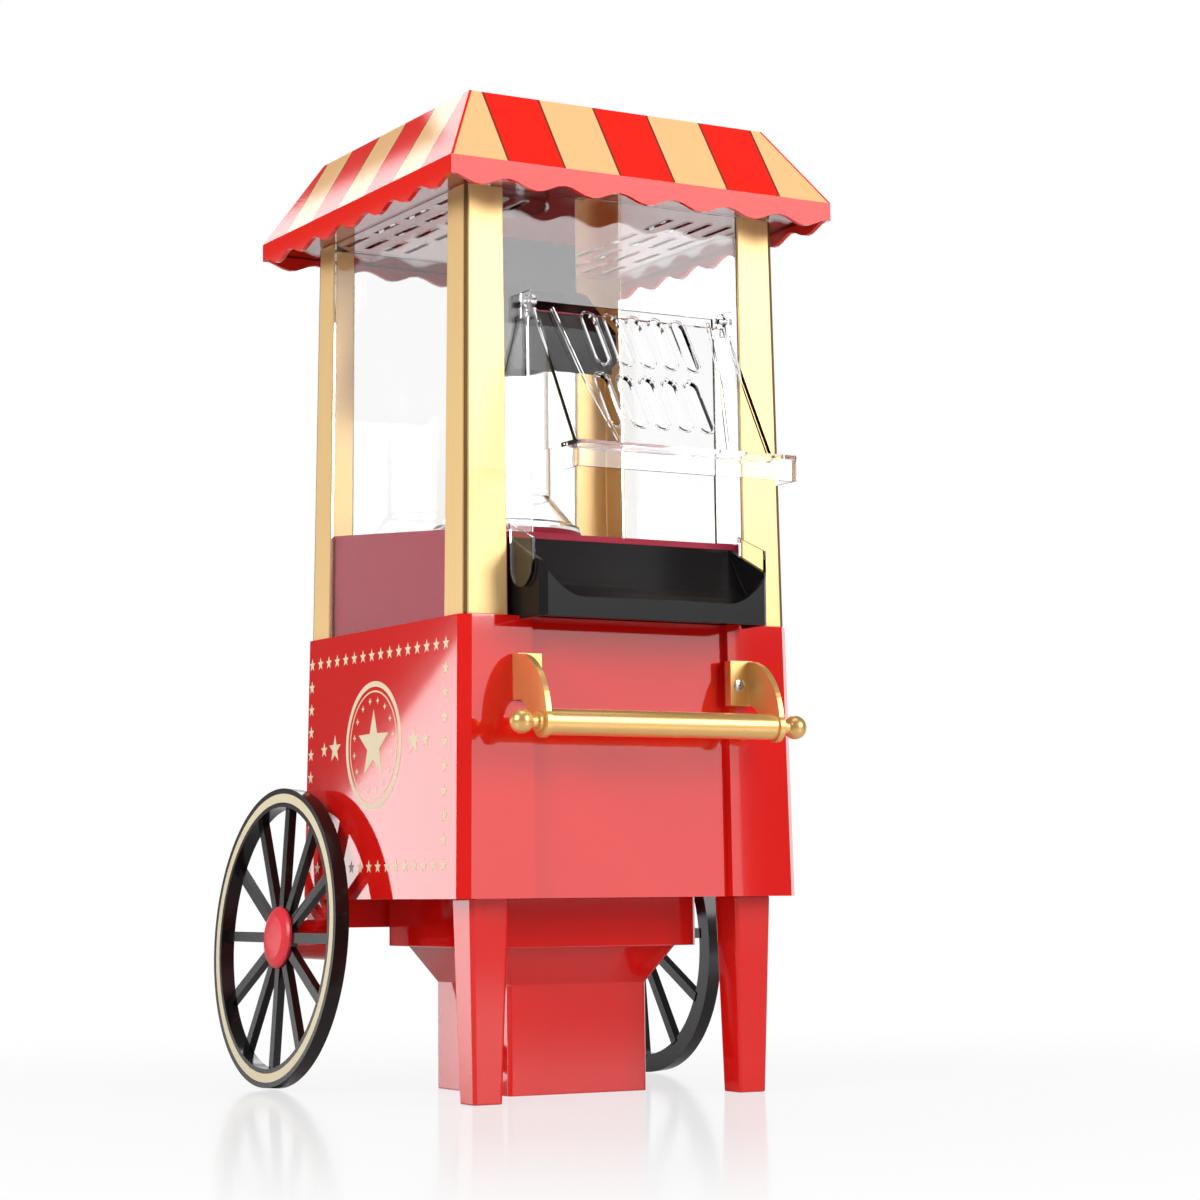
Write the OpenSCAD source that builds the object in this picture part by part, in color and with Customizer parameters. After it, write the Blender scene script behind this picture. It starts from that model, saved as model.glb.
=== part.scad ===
// Hot-air popcorn maker in the shape of a street cart: a moulded cabinet on a pedestal and two
// front legs, a clear popcorn cabin with corner posts under a lift-off awning roof, a flip-up
// serving flap over a scoop tray, a push handle and two spoked wheels.
// Millimetres, +Z up. The origin is on the floor under the middle of the cabinet; the serving
// side faces -Y and the switch is at the back.

/* [Cabinet] */
// Width of the cabinet across its top edge
body_w = 192; // [176:1:208]
// Depth of the cabinet across its top edge
body_d = 185; // [176:1:196]
// Height of the cabinet from its bottom edge to its deck
body_h = 139; // [132:1:150]
// Height of the cabinet's bottom edge above the floor
body_z = 100; // [94:1:108]
// How far each side of the cabinet spreads from top to bottom
body_flare = 2.3; // [0.5:0.1:4]
// Chamfer of the cabinet's upright corners
corner_cut = 5.5; // [3:0.5:8]
// Moulding wall of the cabinet, hopper and roof
wall = 2.5; // [1.8:0.1:3.2]
// Width of the set-back middle panel of the front
panel_w = 114; // [104:1:124]
// How far the middle panel is set back
panel_set = 4; // [2:0.5:6]
// Thickness of the floor plate that closes the cabinet
plate_t = 2.5; // [2:0.1:4]

/* [Cabin] */
// Height of the clear cabin between the deck and the ceiling
cabin_h = 216; // [200:1:230]
// Step in from the cabinet's top edge to the cabin's foot
cabin_inset = 2.3; // [1:0.1:4]
// How far each cabin side leans in over its height
cabin_lean = 2.8; // [1:0.1:5]
// Width of a corner post's face along the front and the back
post_w = 24.2; // [20:0.1:26]
// Width of a corner post's face along the sides
post_d = 22; // [18:0.1:25]
// Thickness of the corner posts
post_t = 3; // [2.4:0.1:3.6]
// Width of the groove down each post's outer corner
post_groove = 2; // [1:0.1:2.2]
// Thickness of the clear window sheets
sheet_t = 2; // [1.5:0.1:2.4]
// How far the window sheets sit behind the posts' faces
sheet_set = 1; // [0.4:0.1:1.4]
// Width of the serving opening in the front window
opening_w = 108; // [96:1:110]
// Height of the serving opening's top edge above the deck
opening_top = 160; // [150:1:170]

/* [Popcorn bed] */
// Height of the sloping bed above the deck at the front
bed_front_h = 43; // [42:0.5:48]
// Height of the sloping bed above the deck at the back
bed_rear_h = 57; // [50:0.5:62]
// Gap between the bed's sides and the cabin windows
bed_side_gap = 1.2; // [0.6:0.1:2.5]
// Distance from the cabinet's front edge to the bed's front
bed_front_set = 9; // [8:0.5:14]
// Wall of the bed moulding
bed_t = 2.2; // [1.6:0.1:3]

/* [Roof] */
// Width of the awning at its eaves
eave_w = 223.2; // [214:0.2:236]
// Depth of the awning at its eaves
eave_d = 229.8; // [220:0.2:240]
// Width of the awning's flat top
top_w = 174.2; // [160:0.2:190]
// Depth of the awning's flat top
top_d = 174.6; // [160:0.2:190]
// Height of the awning from the eaves to the flat top
roof_rise = 41.5; // [34:0.5:50]
// Height of the eaves above the cabin's ceiling plate
eave_lift = 4; // [3:0.5:6]
// Offset of the awning towards the back
roof_y = 2; // [0:0.5:4]
// Width of one awning stripe and of one scallop
stripe_w = 31.8; // [30:0.1:34]
// Drop of the valance between two scallops
valance_h = 9; // [7:0.5:10]
// Further drop at the middle of each scallop
scallop_h = 4.4; // [2:0.1:6]
// Thickness of the clear ceiling plate
ceiling_t = 2.5; // [2:0.1:3]
// Length of one vent slot in the ceiling
vent_l = 26; // [20:1:30]
// Width of one vent slot in the ceiling
vent_w = 3.2; // [2:0.1:4.5]

/* [Serving flap] */
// Width of the flap across its side wings
flap_w = 114; // [112:0.5:116]
// Length of the flap's panel from hinge to ledge
flap_l = 91.5; // [84:0.5:96]
// Slope of the closed flap from the upright
flap_tilt = 29.6; // [24:0.2:34]
// Thickness of the flap
flap_t = 2; // [1.6:0.1:2.6]
// Depth of the finger ledge at the flap's foot
ledge_d = 13; // [10:0.5:20]
// How far the ledge reaches past the flap at each end
ledge_over = 6; // [0:0.5:9]
// Drop of the ledge's lip
ledge_lip = 13; // [8:0.5:16]
// Radius of the hinge pins
pin_r = 1.5; // [1.2:0.1:1.8]
// Radius of the flap's hinge eyes
eye_r = 4; // [3.2:0.1:5]
// Width of one vent slot in the flap
slot_w = 7.5; // [6:0.5:9]
// Length of one vent slot in the flap
slot_l = 32; // [24:0.5:34]
// Number of vent slots in each row
slot_n = 5; // [3:1:7]
// Distance from one slot to the next
slot_pitch = 13.1; // [11:0.1:14]
// Angle by which the slots lean in the panel
slot_lean = 2.5; // [0:0.5:8]
// Sideways shift of the lower row of slots
slot_shift = -4; // [-6:0.5:0]

/* [Scoop tray] */
// Gap between each tray wall and the corner post beside it
tray_gap = 3.5; // [2.8:0.1:6]
// How far the tray stands out from the cabinet's front
tray_reach = 26.5; // [20:0.5:32]
// Wall of the tray
tray_t = 2.5; // [1.8:0.1:3]
// Height of the tray's front lip above the deck
lip_h = 8; // [6:0.5:12]
// Height of the tray's front corners above the deck
corner_h = 24; // [20:0.2:30]
// Height of the tray's back edge above the deck
tray_back_h = 40; // [36:0.5:41]
// Width of the curve at each end of the front lip
lip_curve = 23; // [16:0.5:30]
// Half width of the round-ended clear tongue beside each tray wall
tongue_r = 11.3; // [8:0.1:12]

// Size of the bevel down each front corner of the tray
tray_cut = 3.2; // [1:0.1:3.4]

/* [Handle] */
// Height of the handle bar's axis above the floor
bar_z = 185; // [178:1:192]
// Distance from the cabinet's front edge to the bar's axis
bar_reach = 28.5; // [24:0.5:34]
// Radius of the handle bar
bar_r = 6.5; // [5:0.1:7.5]
// Distance between the inner faces of the two bracket arms
bar_span = 131; // [124:0.5:134]
// Thickness of a bracket arm
arm_t = 3; // [2.4:0.1:3.6]
// Radius of the ball at each end of the bar
ball_r = 6; // [5:0.1:7]
// Distance from a bracket's outer face to the middle of its end ball
ball_gap = 10.3; // [8.6:0.1:13]
// Height of a bracket's base block
pad_h = 23; // [18:0.5:26]
// Width of a bracket's base block
pad_w = 13.5; // [11:0.5:16]
// Thickness of a bracket's base block in front of the cabinet
pad_t = 6; // [4:0.5:8]
// Radius of the bracket screws' heads
screw_head_r = 2.7; // [2.2:0.1:3.2]

/* [Wheels] */
// Radius of a wheel
wheel_r = 79.5; // [74:0.5:82]
// Radial width of a wheel's rim
rim_w = 10; // [8:0.2:13]
// Width of a wheel's tread
tread_w = 7.7; // [6:0.1:10]
// Distance of the wheels' outer faces beyond the cabinet's sides
wheel_out = 20.2; // [18:0.1:26]
// Distance from the cabinet's middle back to the wheels' axis
wheel_y = 91; // [84:0.5:96]
// Angle by which each wheel leans, its top towards the cabinet
camber = 4; // [0:0.5:6]

// Number of spokes
spoke_n = 12; // [8:1:14]
// Width of a spoke
spoke_w = 5.4; // [4:0.1:6.5]
// Radius of a wheel's hub
hub_r = 14.5; // [12:0.1:16]
// Radius of a hub cap
cap_r = 16.4; // [15:0.1:18]
// Radius of an axle pin
axle_r = 3; // [2.5:0.1:4]
// Radius of the boss that holds an axle pin
boss_r = 10.5; // [8:0.1:12]

/* [Hopper and legs] */
// Side of the square hopper box under the cabinet
hopper_w = 121; // [112:1:130]
// Side of the funnel's square mouth
funnel_w = 105; // [100:1:110]
// Side of the square pedestal
pedestal_w = 81.5; // [74:0.5:90]
// Height of the hopper box
hopper_h = 25; // [20:0.5:30]
// Height of the funnel
funnel_h = 19; // [14:0.5:26]
// Offset of the hopper and pedestal towards the back
hopper_y = 5.5; // [3:0.5:9]
// Side of a leg at its top
leg_top = 21.5; // [18:0.5:24]
// Side of a leg at its foot
leg_foot = 16; // [12:0.5:18]
// Distance from the cabinet's bottom edge in to the legs
leg_set = 11; // [8:0.5:14]

/* [Popper] */
// Distance from the cabinet's middle back to the popper's axis
popper_y = 40; // [38:0.5:43]
// Outer radius of the popping chamber
chamber_r = 35.5; // [32:0.1:36]
// Wall of the popping chamber
chamber_t = 1.2; // [0.8:0.1:2]
// Depth of the popping chamber
chamber_h = 93; // [86:1:98]
// Outer radius of the clear chimney
chimney_r = 24; // [21:0.1:25]
// Wall of the clear chimney
chimney_t = 1.6; // [1.2:0.1:2]
// Height of the chimney above the bed's collar
chimney_h = 98; // [90:1:104]
// Half width of the outlet hood's column
hood_r = 28; // [27.5:0.5:30]
// Height of the outlet hood below the ceiling
hood_h = 78; // [70:1:84]
// Half width of the hood's spout
spout_r = 35; // [32:0.5:38]
// How far the spout reaches in front of the column
spout_l = 32; // [24:1:36]
// Radius of the measuring cap's cup
cup_r = 24; // [20:0.5:25]
// Depth of the measuring cap's cup
cup_h = 22; // [16:0.5:28]

/* [Fan and heater] */
// Radius of the fan motor
motor_r = 17.5; // [15:0.5:20]
// Height of the fan motor
motor_h = 32; // [28:1:34]
// Radius of the fan's blades
fan_r = 30; // [26:0.5:31]
// Height of the fan's blades
blade_h = 11; // [8:0.5:12]
// Number of fan blades
blade_n = 9; // [6:1:12]
// Radius of the heater coil's turns
coil_r = 27; // [23:0.5:29]
// Radius of the heater wire
wire_r = 0.8; // [0.5:0.1:1]

/* [Switch and cord inlet] */
// Distance of the switch from the cabinet's middle plane
switch_x = 52; // [44:1:60]
// Height of the switch above the floor
switch_z = 195; // [183:1:207]
// Width of the rocker
rocker_w = 13; // [11:0.5:15]
// Height of the rocker
rocker_h = 20; // [17:0.5:23]
// Distance of the cord inlet from the cabinet's middle plane
inlet_x = 60; // [52:1:66]
// Height of the cord inlet above the floor
inlet_z = 125; // [121:1:137]
// Radius of the hole for the cord
inlet_r = 3.6; // [2.8:0.1:4]

/* [Fits] */
// Radial clearance of a pin that turns in a hole
run_gap = 0.08; // [0.03:0.01:0.1]
// Gap between pieces that slide past each other
slip_gap = 0.35; // [0.3:0.05:0.5]

/* [Hidden] */
$fn = 72;

far = 400;                // half size of a cutting block that passes right through
eps = 0.01;
red = [0.78, 0.07, 0.09];
gold = [0.90, 0.70, 0.34];
black = [0.06, 0.06, 0.07];
clear = [0.85, 0.90, 0.92, 0.35];
cream = [0.97, 0.86, 0.64];
steel = [0.75, 0.76, 0.78];

deck_z = body_z + body_h;
ceiling_z = deck_z + cabin_h;
ceiling_top = ceiling_z + ceiling_t;
eave_z = ceiling_top + eave_lift;
roof_top = eave_z + roof_rise;

// Half sizes of the cabinet and of the cabin at height z
function body_x(z) = body_w / 2 + body_flare * (deck_z - z) / body_h;
function body_y(z) = body_d / 2 + body_flare * (deck_z - z) / body_h;
function cabin_x(z) = body_w / 2 - cabin_inset - cabin_lean * (z - deck_z) / cabin_h;
function cabin_y(z) = body_d / 2 - cabin_inset - cabin_lean * (z - deck_z) / cabin_h;

// Rectangle with chamfered corners
module plan(w, d, cut) {
    if (cut > 0)
        polygon([
            [w / 2 - cut, -d / 2], [w / 2, -d / 2 + cut], [w / 2, d / 2 - cut],
            [w / 2 - cut, d / 2], [-w / 2 + cut, d / 2], [-w / 2, d / 2 - cut],
            [-w / 2, -d / 2 + cut], [-w / 2 + cut, -d / 2]
        ]);
    else
        square([w, d], center = true);
}

// Tapered block from a w0 x d0 base to a w1 x d1 top
module taper(w0, d0, w1, d1, h, cut = 0) {
    linear_extrude(height = h, scale = [w1 / w0, d1 / d0], slices = 1, $fn = 4) plan(w0, d0, cut);
}

// The cabinet's outer form between two heights, grown or shrunk by a margin
module body_block(margin, z0, z1, cut) {
    translate([0, 0, z0])
        taper(2 * (body_x(z0) + margin), 2 * (body_y(z0) + margin),
            2 * (body_x(z1) + margin), 2 * (body_y(z1) + margin), z1 - z0, cut);
}

// The cabin's outer form between two heights, grown or shrunk by a margin
module cabin_block(margin, z0, z1) {
    translate([0, 0, z0])
        taper(2 * (cabin_x(z0) + margin), 2 * (cabin_y(z0) + margin),
            2 * (cabin_x(z1) + margin), 2 * (cabin_y(z1) + margin), z1 - z0);
}

module block(x0, x1, y0, y1, z0, z1) {
    translate([x0, y0, z0]) cube([x1 - x0, y1 - y0, z1 - z0]);
}

// A rod along X between two stations
module rod_x(r, x0, x1, y, z) {
    translate([x0, y, z]) rotate([0, 90, 0]) cylinder(r = r, h = x1 - x0);
}

// An outline drawn in Y and Z, given thickness along X from x0
module side_plate(x0, t) {
    translate([x0, 0, 0]) rotate([90, 0, 90]) linear_extrude(height = t) children();
}

// An outline drawn in X and Z, given thickness along Y from y0
module front_plate(y0, t) {
    translate([0, y0 + t, 0]) rotate([90, 0, 0]) linear_extrude(height = t) children();
}

module tube(r, t, h) {
    difference() {
        cylinder(r = r, h = h);
        translate([0, 0, -1]) cylinder(r = r - t, h = h + 2);
    }
}

module both_sides() {
    children();
    mirror([1, 0, 0]) children();
}

// ---- Cabinet ----

deck_rim_x = 12;
deck_rim_y = 15;
bed_hole_w = body_w - 2 * deck_rim_x;
bed_hole_d = body_d - 2 * deck_rim_y;
pad_x0 = bar_span / 2 + arm_t - pad_w;
screw_x = pad_x0 + (pad_w - arm_t) / 2;
pad_lift = 12;
pad_z0 = bar_z + pad_lift;
screw_z = pad_z0 + 10;
screw_r = 1.6;
screw_l = 9;
rear_face = body_y(switch_z);
inlet_face = body_y(inlet_z);
bezel_rim = 2.5;
vent_gap = 8;
back_vents = 6;

// The block behind the front's set-back panel and between its two pillars
module cabinet_form(margin, z0, z1, cut) {
    intersection() {
        body_block(margin, z0, z1, cut);
        block(-far, far, 0, far, z0, z1);
    }
    intersection() {
        translate([0, panel_set, 0]) body_block(margin, z0, z1, cut);
        block(-far, far, -far, 0, z0, z1);
    }
}

module body_shell() {
    color(red)
        difference() {
            union() {
                cabinet_form(0, body_z, deck_z, corner_cut);
                intersection() {
                    body_block(0, body_z, deck_z, corner_cut);
                    both_sides() block(panel_w / 2, far, -far, 0, body_z, deck_z);
                }
            }
            cabinet_form(-wall, body_z - 1, deck_z - wall, corner_cut);
            block(-bed_hole_w / 2, bed_hole_w / 2, -bed_hole_d / 2, bed_hole_d / 2,
                deck_z - 2 * wall, deck_z + 1);
            both_sides()
                translate([screw_x, -body_y(screw_z) - 1, screw_z]) rotate([-90, 0, 0])
                    cylinder(r = screw_r, h = screw_l);
            block(switch_x - rocker_w / 2 - bezel_rim / 2, switch_x + rocker_w / 2 + bezel_rim / 2,
                rear_face - 2 * wall, rear_face + 5,
                switch_z - rocker_h / 2 - bezel_rim / 2, switch_z + rocker_h / 2 + bezel_rim / 2);
            translate([-inlet_x, inlet_face - 2 * wall, inlet_z]) rotate([-90, 0, 0])
                cylinder(r = inlet_r + 2.4, h = 4 * wall);
            for (i = [0 : back_vents - 1])
                block(-30, 30, rear_face - 2 * wall, rear_face + 5,
                    inlet_z + i * vent_gap, inlet_z + i * vent_gap + vent_w);
        }
}

floor_hole_r = 36;
plate_x = body_x(body_z + plate_t) - wall - slip_gap;
plate_y = body_y(body_z + plate_t) - wall - slip_gap;

module floor_plate() {
    color(red)
        difference() {
            translate([0, panel_set / 2, body_z])
                linear_extrude(height = plate_t)
                    plan(2 * plate_x, 2 * plate_y - panel_set, corner_cut + slip_gap);
            translate([0, popper_y, body_z - 1]) cylinder(r = floor_hole_r, h = plate_t + 2);
            for (x = [-40 : 10 : 40])
                block(x - 2, x + 2, -45, -10, body_z - 1, body_z + plate_t + 1);
        }
}

// ---- Hopper, pedestal and legs ----

funnel_z = body_z - hopper_h;
pedestal_z = funnel_z - funnel_h;

module hopper_form(margin, bottom) {
    translate([0, hopper_y, 0]) {
        translate([0, 0, funnel_z + (margin < 0 ? wall : 0)])
            linear_extrude(height = hopper_h + (margin < 0 ? 1 : 0))
                plan(hopper_w + 2 * margin, hopper_w + 2 * margin, 3);
        translate([0, 0, pedestal_z])
            taper(pedestal_w + 2 * margin, pedestal_w + 2 * margin,
                funnel_w + 2 * margin, funnel_w + 2 * margin,
                funnel_h + (margin < 0 ? wall : 0), 1.5);
        translate([0, 0, bottom])
            linear_extrude(height = pedestal_z - bottom)
                plan(pedestal_w + 2 * margin, pedestal_w + 2 * margin, 1.5);
    }
}

module hopper() {
    color(red)
        difference() {
            hopper_form(0, 0);
            hopper_form(-wall, -1);
        }
}

cover_t = 2.4;
cover_w = pedestal_w - 2 * wall - 0.2;
cover_screw = cover_w / 2 - 7;

module base_cover() {
    color(black)
        difference() {
            translate([0, hopper_y, 0])
                linear_extrude(height = cover_t) plan(cover_w, cover_w, 2);
            for (sx = [-1, 1], sy = [-1, 1])
                translate([sx * cover_screw, hopper_y + sy * cover_screw, -1])
                    cylinder(r = screw_r, h = cover_t + 2);
            for (x = [-20 : 8 : 20], sy = [-1, 1])
                block(x - 2, x + 2, hopper_y + sy * 18 - 8, hopper_y + sy * 18 + 8, -1, cover_t + 1);
        }
}

module base_screws() {
    color(steel)
        for (sx = [-1, 1], sy = [-1, 1])
            translate([sx * cover_screw, hopper_y + sy * cover_screw, 0.5]) {
                cylinder(r = screw_r - 0.05, h = cover_t + 4);
                translate([0, 0, cover_t - 0.5]) cylinder(r = screw_head_r, h = 1.4);
            }
}

leg_x = body_x(body_z) - leg_set - leg_top / 2;
leg_y = -(body_y(body_z) - leg_set - leg_top / 2);

module leg(side) {
    difference() {
        translate([side * leg_x, leg_y, 0]) taper(leg_foot, leg_foot, leg_top, leg_top, body_z, 1);
        translate([side * leg_x, leg_y, 3])
            taper(leg_foot - 2 * wall, leg_foot - 2 * wall, leg_top - 2 * wall,
                leg_top - 2 * wall, body_z, 1);
    }
}

module left_leg() {
    color(red) leg(-1);
}

module right_leg() {
    color(red) leg(1);
}

// ---- Axle beam and wheels ----

axle_z = wheel_r * cos(camber) + 0.3;
rim_x0 = body_w / 2 + wheel_out - tread_w;
hub_x0 = rim_x0 - 1;
hub_t = 4.6;
hub_x1 = hub_x0 + hub_t;
boss_x1 = hub_x0 - slip_gap;
beam_x = body_x(body_z) - 4;
beam_h = 15;
beam_y0 = hopper_y + hopper_w / 2 + slip_gap;
pin_depth = 15;
band_r0 = wheel_r - 0.76 * rim_w;
band_r1 = wheel_r - 0.28 * rim_w;
band_t = 0.7;

// Leans a wheel and its axle about the outer end of the boss
module lean_in() {
    translate([boss_x1, 0, axle_z]) rotate([0, -camber, 0]) translate([-boss_x1, 0, -axle_z])
        children();
}

module axle_beam() {
    color(red)
        difference() {
            union() {
                block(-beam_x, beam_x, beam_y0, body_y(body_z), body_z - beam_h, body_z);
                both_sides() {
                    lean_in() rod_x(boss_r, beam_x - 14, boss_x1, wheel_y, axle_z);
                    block(beam_x - 14, beam_x, wheel_y - boss_r, wheel_y + boss_r,
                        axle_z, body_z - beam_h + 1);
                }
            }
            both_sides() lean_in() rod_x(axle_r, boss_x1 - pin_depth, boss_x1 + 1, wheel_y, axle_z);
        }
}

module axle_pins() {
    color(steel)
        both_sides() lean_in() {
            rod_x(axle_r, boss_x1 - pin_depth, hub_x1 + slip_gap + 1.4, wheel_y, axle_z);
            rod_x(axle_r + 2.4, hub_x1 + slip_gap, hub_x1 + slip_gap + 1.6, wheel_y, axle_z);
        }
}

// A wheel at the right-hand side, its outer face towards +X
module wheel() {
    difference() {
        union() {
            difference() {
                rod_x(wheel_r, rim_x0, rim_x0 + tread_w, wheel_y, axle_z);
                rod_x(wheel_r - rim_w, rim_x0 - 1, rim_x0 + tread_w + 1, wheel_y, axle_z);
                difference() {
                    rod_x(band_r1, rim_x0 + tread_w - band_t, rim_x0 + tread_w + 1, wheel_y, axle_z);
                    rod_x(band_r0, rim_x0, rim_x0 + tread_w + 2, wheel_y, axle_z);
                }
            }
            rod_x(hub_r, hub_x0, hub_x1, wheel_y, axle_z);
            for (i = [0 : spoke_n - 1])
                translate([0, wheel_y, axle_z]) rotate([i * 360 / spoke_n, 0, 0])
                    block(hub_x0 + 0.4, hub_x1, -spoke_w / 2, spoke_w / 2,
                        hub_r - 2, wheel_r - rim_w + 1.5);
        }
        rod_x(axle_r + run_gap, hub_x0 - 1, hub_x1 + 1, wheel_y, axle_z);
    }
}

module rim_band() {
    difference() {
        rod_x(band_r1 - 0.05, rim_x0 + tread_w - band_t, rim_x0 + tread_w - 0.1, wheel_y, axle_z);
        rod_x(band_r0 + 0.05, rim_x0, rim_x0 + tread_w + 2, wheel_y, axle_z);
    }
}

cap_h = 4.6;

module hub_cap() {
    difference() {
        translate([hub_x1, wheel_y, axle_z]) rotate([0, 90, 0])
            rotate_extrude()
                polygon([
                    [0, 0], [cap_r, 0], [cap_r, 1.2], [cap_r - 1.2, 2.4],
                    [cap_r - 5, 3.9], [cap_r - 9.4, cap_h - 0.1], [0, cap_h]
                ]);
        rod_x(axle_r + 3.4, hub_x1 - 1, hub_x1 + slip_gap + 2.2, wheel_y, axle_z);
    }
}

module left_wheel() {
    color(black) mirror([1, 0, 0]) lean_in() wheel();
}

module right_wheel() {
    color(black) lean_in() wheel();
}

module left_rim_band() {
    color(cream) mirror([1, 0, 0]) lean_in() rim_band();
}

module right_rim_band() {
    color(cream) lean_in() rim_band();
}

module left_hub_cap() {
    color(red) mirror([1, 0, 0]) lean_in() hub_cap();
}

module right_hub_cap() {
    color(red) lean_in() hub_cap();
}

// ---- Push handle ----

bar_y = -(body_d / 2 + bar_reach);
arm_x0 = bar_span / 2;
ball_x = arm_x0 + arm_t + ball_gap;
pad_y = -(body_d / 2 + pad_t);
pad_top = pad_z0 + pad_h;
neck_r = 3.4;
arm_rise = pad_top - 0.5 - bar_z;
arm_out = pad_y - bar_y + bar_r;

// Quarter-ellipse arm with a hollow under it and a round end about the bar
module arm_outline() {
    difference() {
        union() {
            polygon(concat([[pad_y + 1, bar_z]], [[pad_y + 1, bar_z + arm_rise]],
                [for (a = [90 : -5 : 0]) [pad_y - arm_out * cos(a), bar_z + arm_rise * sin(a)]]));
            translate([bar_y, bar_z]) circle(r = bar_r + 1.3);
        }
        translate([pad_y + 2, bar_z - 1.5]) circle(r = pad_z0 - bar_z + 2);
    }
}

module bracket() {
    difference() {
        union() {
            side_plate(arm_x0, arm_t) arm_outline();
            difference() {
                block(pad_x0, arm_x0 + arm_t, pad_y, -body_d / 2 + 2, pad_z0, pad_top);
                body_block(0, body_z, deck_z, corner_cut);
            }
        }
        rod_x(neck_r + 0.05, arm_x0 - 1, arm_x0 + arm_t + 1, bar_y, bar_z);
        translate([screw_x, pad_y - 1, screw_z]) rotate([-90, 0, 0])
            cylinder(r = screw_r, h = pad_t + 6);
        translate([screw_x, pad_y - 1, screw_z]) rotate([-90, 0, 0])
            cylinder(r = screw_head_r + 0.2, h = 1.6);
    }
}

module left_bracket() {
    color(gold) mirror([1, 0, 0]) bracket();
}

module right_bracket() {
    color(gold) bracket();
}

module bracket_screws() {
    color(steel)
        both_sides()
            translate([screw_x, pad_y, screw_z]) rotate([-90, 0, 0]) {
                translate([0, 0, -0.9]) cylinder(r = screw_head_r, h = 1.45);
                cylinder(r = screw_r - 0.05, h = pad_t + screw_l - 3);
            }
}

module handle_bar() {
    color(gold) {
        rod_x(bar_r, -bar_span / 2 + 0.1, bar_span / 2 - 0.1, bar_y, bar_z);
        both_sides() {
            rod_x(neck_r, bar_span / 2 - 1, ball_x, bar_y, bar_z);
            rod_x(neck_r + 1.6, arm_x0 + arm_t + 0.1, arm_x0 + arm_t + 2.2, bar_y, bar_z);
            translate([ball_x, bar_y, bar_z]) sphere(r = ball_r);
        }
    }
}

// ---- Cabin ----

post_x = cabin_x(deck_z) - post_w;
post_y = cabin_y(deck_z) - post_d;
window_z0 = deck_z + tray_back_h + 2.5;

// One corner post in the quarter towards sx and sy
module post(sx, sy) {
    x0 = min(sx * post_x, sx * far);
    y0 = min(sy * post_y, sy * far);
    intersection() {
        difference() {
            cabin_block(0, deck_z, ceiling_z);
            cabin_block(-post_t, deck_z - 1, ceiling_z + 1);
            translate([sx * cabin_x(deck_z), sy * cabin_y(deck_z), deck_z - 1])
                corner_groove(sx, sy);
        }
        block(x0, x0 + far - post_x, y0, y0 + far - post_y, deck_z, ceiling_z);
    }
}

// The leaning groove along a post's outer corner
module corner_groove(sx, sy) {
    lean = atan(cabin_lean / cabin_h);
    rotate([sy * lean, -sx * lean, 0])
        translate([-post_groove, -post_groove, -2])
            cube([2 * post_groove, 2 * post_groove, cabin_h + 6]);
}

module front_left_post() {
    color(gold) post(-1, -1);
}

module front_right_post() {
    color(gold) post(1, -1);
}

module rear_left_post() {
    color(gold) post(-1, 1);
}

module rear_right_post() {
    color(gold) post(1, 1);
}

// The ring of clear sheet between the posts
module sheet_ring(z0) {
    difference() {
        cabin_block(-sheet_set, z0, ceiling_z);
        cabin_block(-sheet_set - sheet_t, z0 - 1, ceiling_z + 1);
    }
}

module left_window() {
    color(clear)
        intersection() {
            sheet_ring(deck_z);
            block(-far, 0, -post_y, post_y, deck_z, ceiling_z);
        }
}

module right_window() {
    color(clear)
        intersection() {
            sheet_ring(deck_z);
            block(0, far, -post_y, post_y, deck_z, ceiling_z);
        }
}

module rear_window() {
    color(clear)
        intersection() {
            sheet_ring(deck_z);
            block(-post_x, post_x, 0, far, deck_z, ceiling_z);
        }
}

hinge_z = deck_z + opening_top - 2;
hinge_y = -(cabin_y(hinge_z) - sheet_set + eye_r + slip_gap);
cheek_x0 = flap_w / 2 + 1.2;
cheek_t = 1.8;
cheek_drop = 8;
cheek_y = hinge_y - eye_r - 1;

tongue_t = 1.8;
tongue_y0 = -(cabin_y(window_z0) + 0.6);
tongue_z = deck_z + 13;

// Tongue beside a tray wall: flat on top, round below, its rear edge along the front sheet
module tongue_outline() {
    y = tongue_y0 - tongue_r;
    sheet_y = -cabin_y(window_z0) + sheet_set + sheet_t / 2;
    polygon(concat(
        [for (a = [180 : 15 : 360]) [y + tongue_r * cos(a), tongue_z + tongue_r + tongue_r * sin(a)]],
        [[tongue_y0, window_z0 + 0.5], [sheet_y, window_z0 + 0.5], [sheet_y, window_z0 + 4],
            [y - tongue_r, window_z0 - 6]]));
}

// Front sheet with the serving opening, and two cheeks that carry the flap's hinge pins
module front_window() {
    color(clear)
        difference() {
            union() {
                intersection() {
                    sheet_ring(window_z0);
                    block(-post_x, post_x, -far, 0, window_z0, ceiling_z);
                }
                both_sides()
                    block(cheek_x0, cheek_x0 + cheek_t, cheek_y, -cabin_y(deck_z) + sheet_set + sheet_t,
                        hinge_z - cheek_drop, hinge_z + eye_r + 1);
                both_sides() side_plate(tray_x + slip_gap, tongue_t) tongue_outline();
            }
            block(-opening_w / 2, opening_w / 2, -far, 0, deck_z, deck_z + opening_top);
            both_sides() rod_x(pin_r, cheek_x0 - 1, cheek_x0 + cheek_t + 1, hinge_y, hinge_z);
            cabin_block(-sheet_set - sheet_t, deck_z, ceiling_z + 1);
        }
}

module hinge_pins() {
    color(steel)
        both_sides()
            rod_x(pin_r, flap_w / 2 - flap_t - 0.6, cheek_x0 + cheek_t + 0.4, hinge_y, hinge_z);
}

// ---- Serving flap ----

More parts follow.
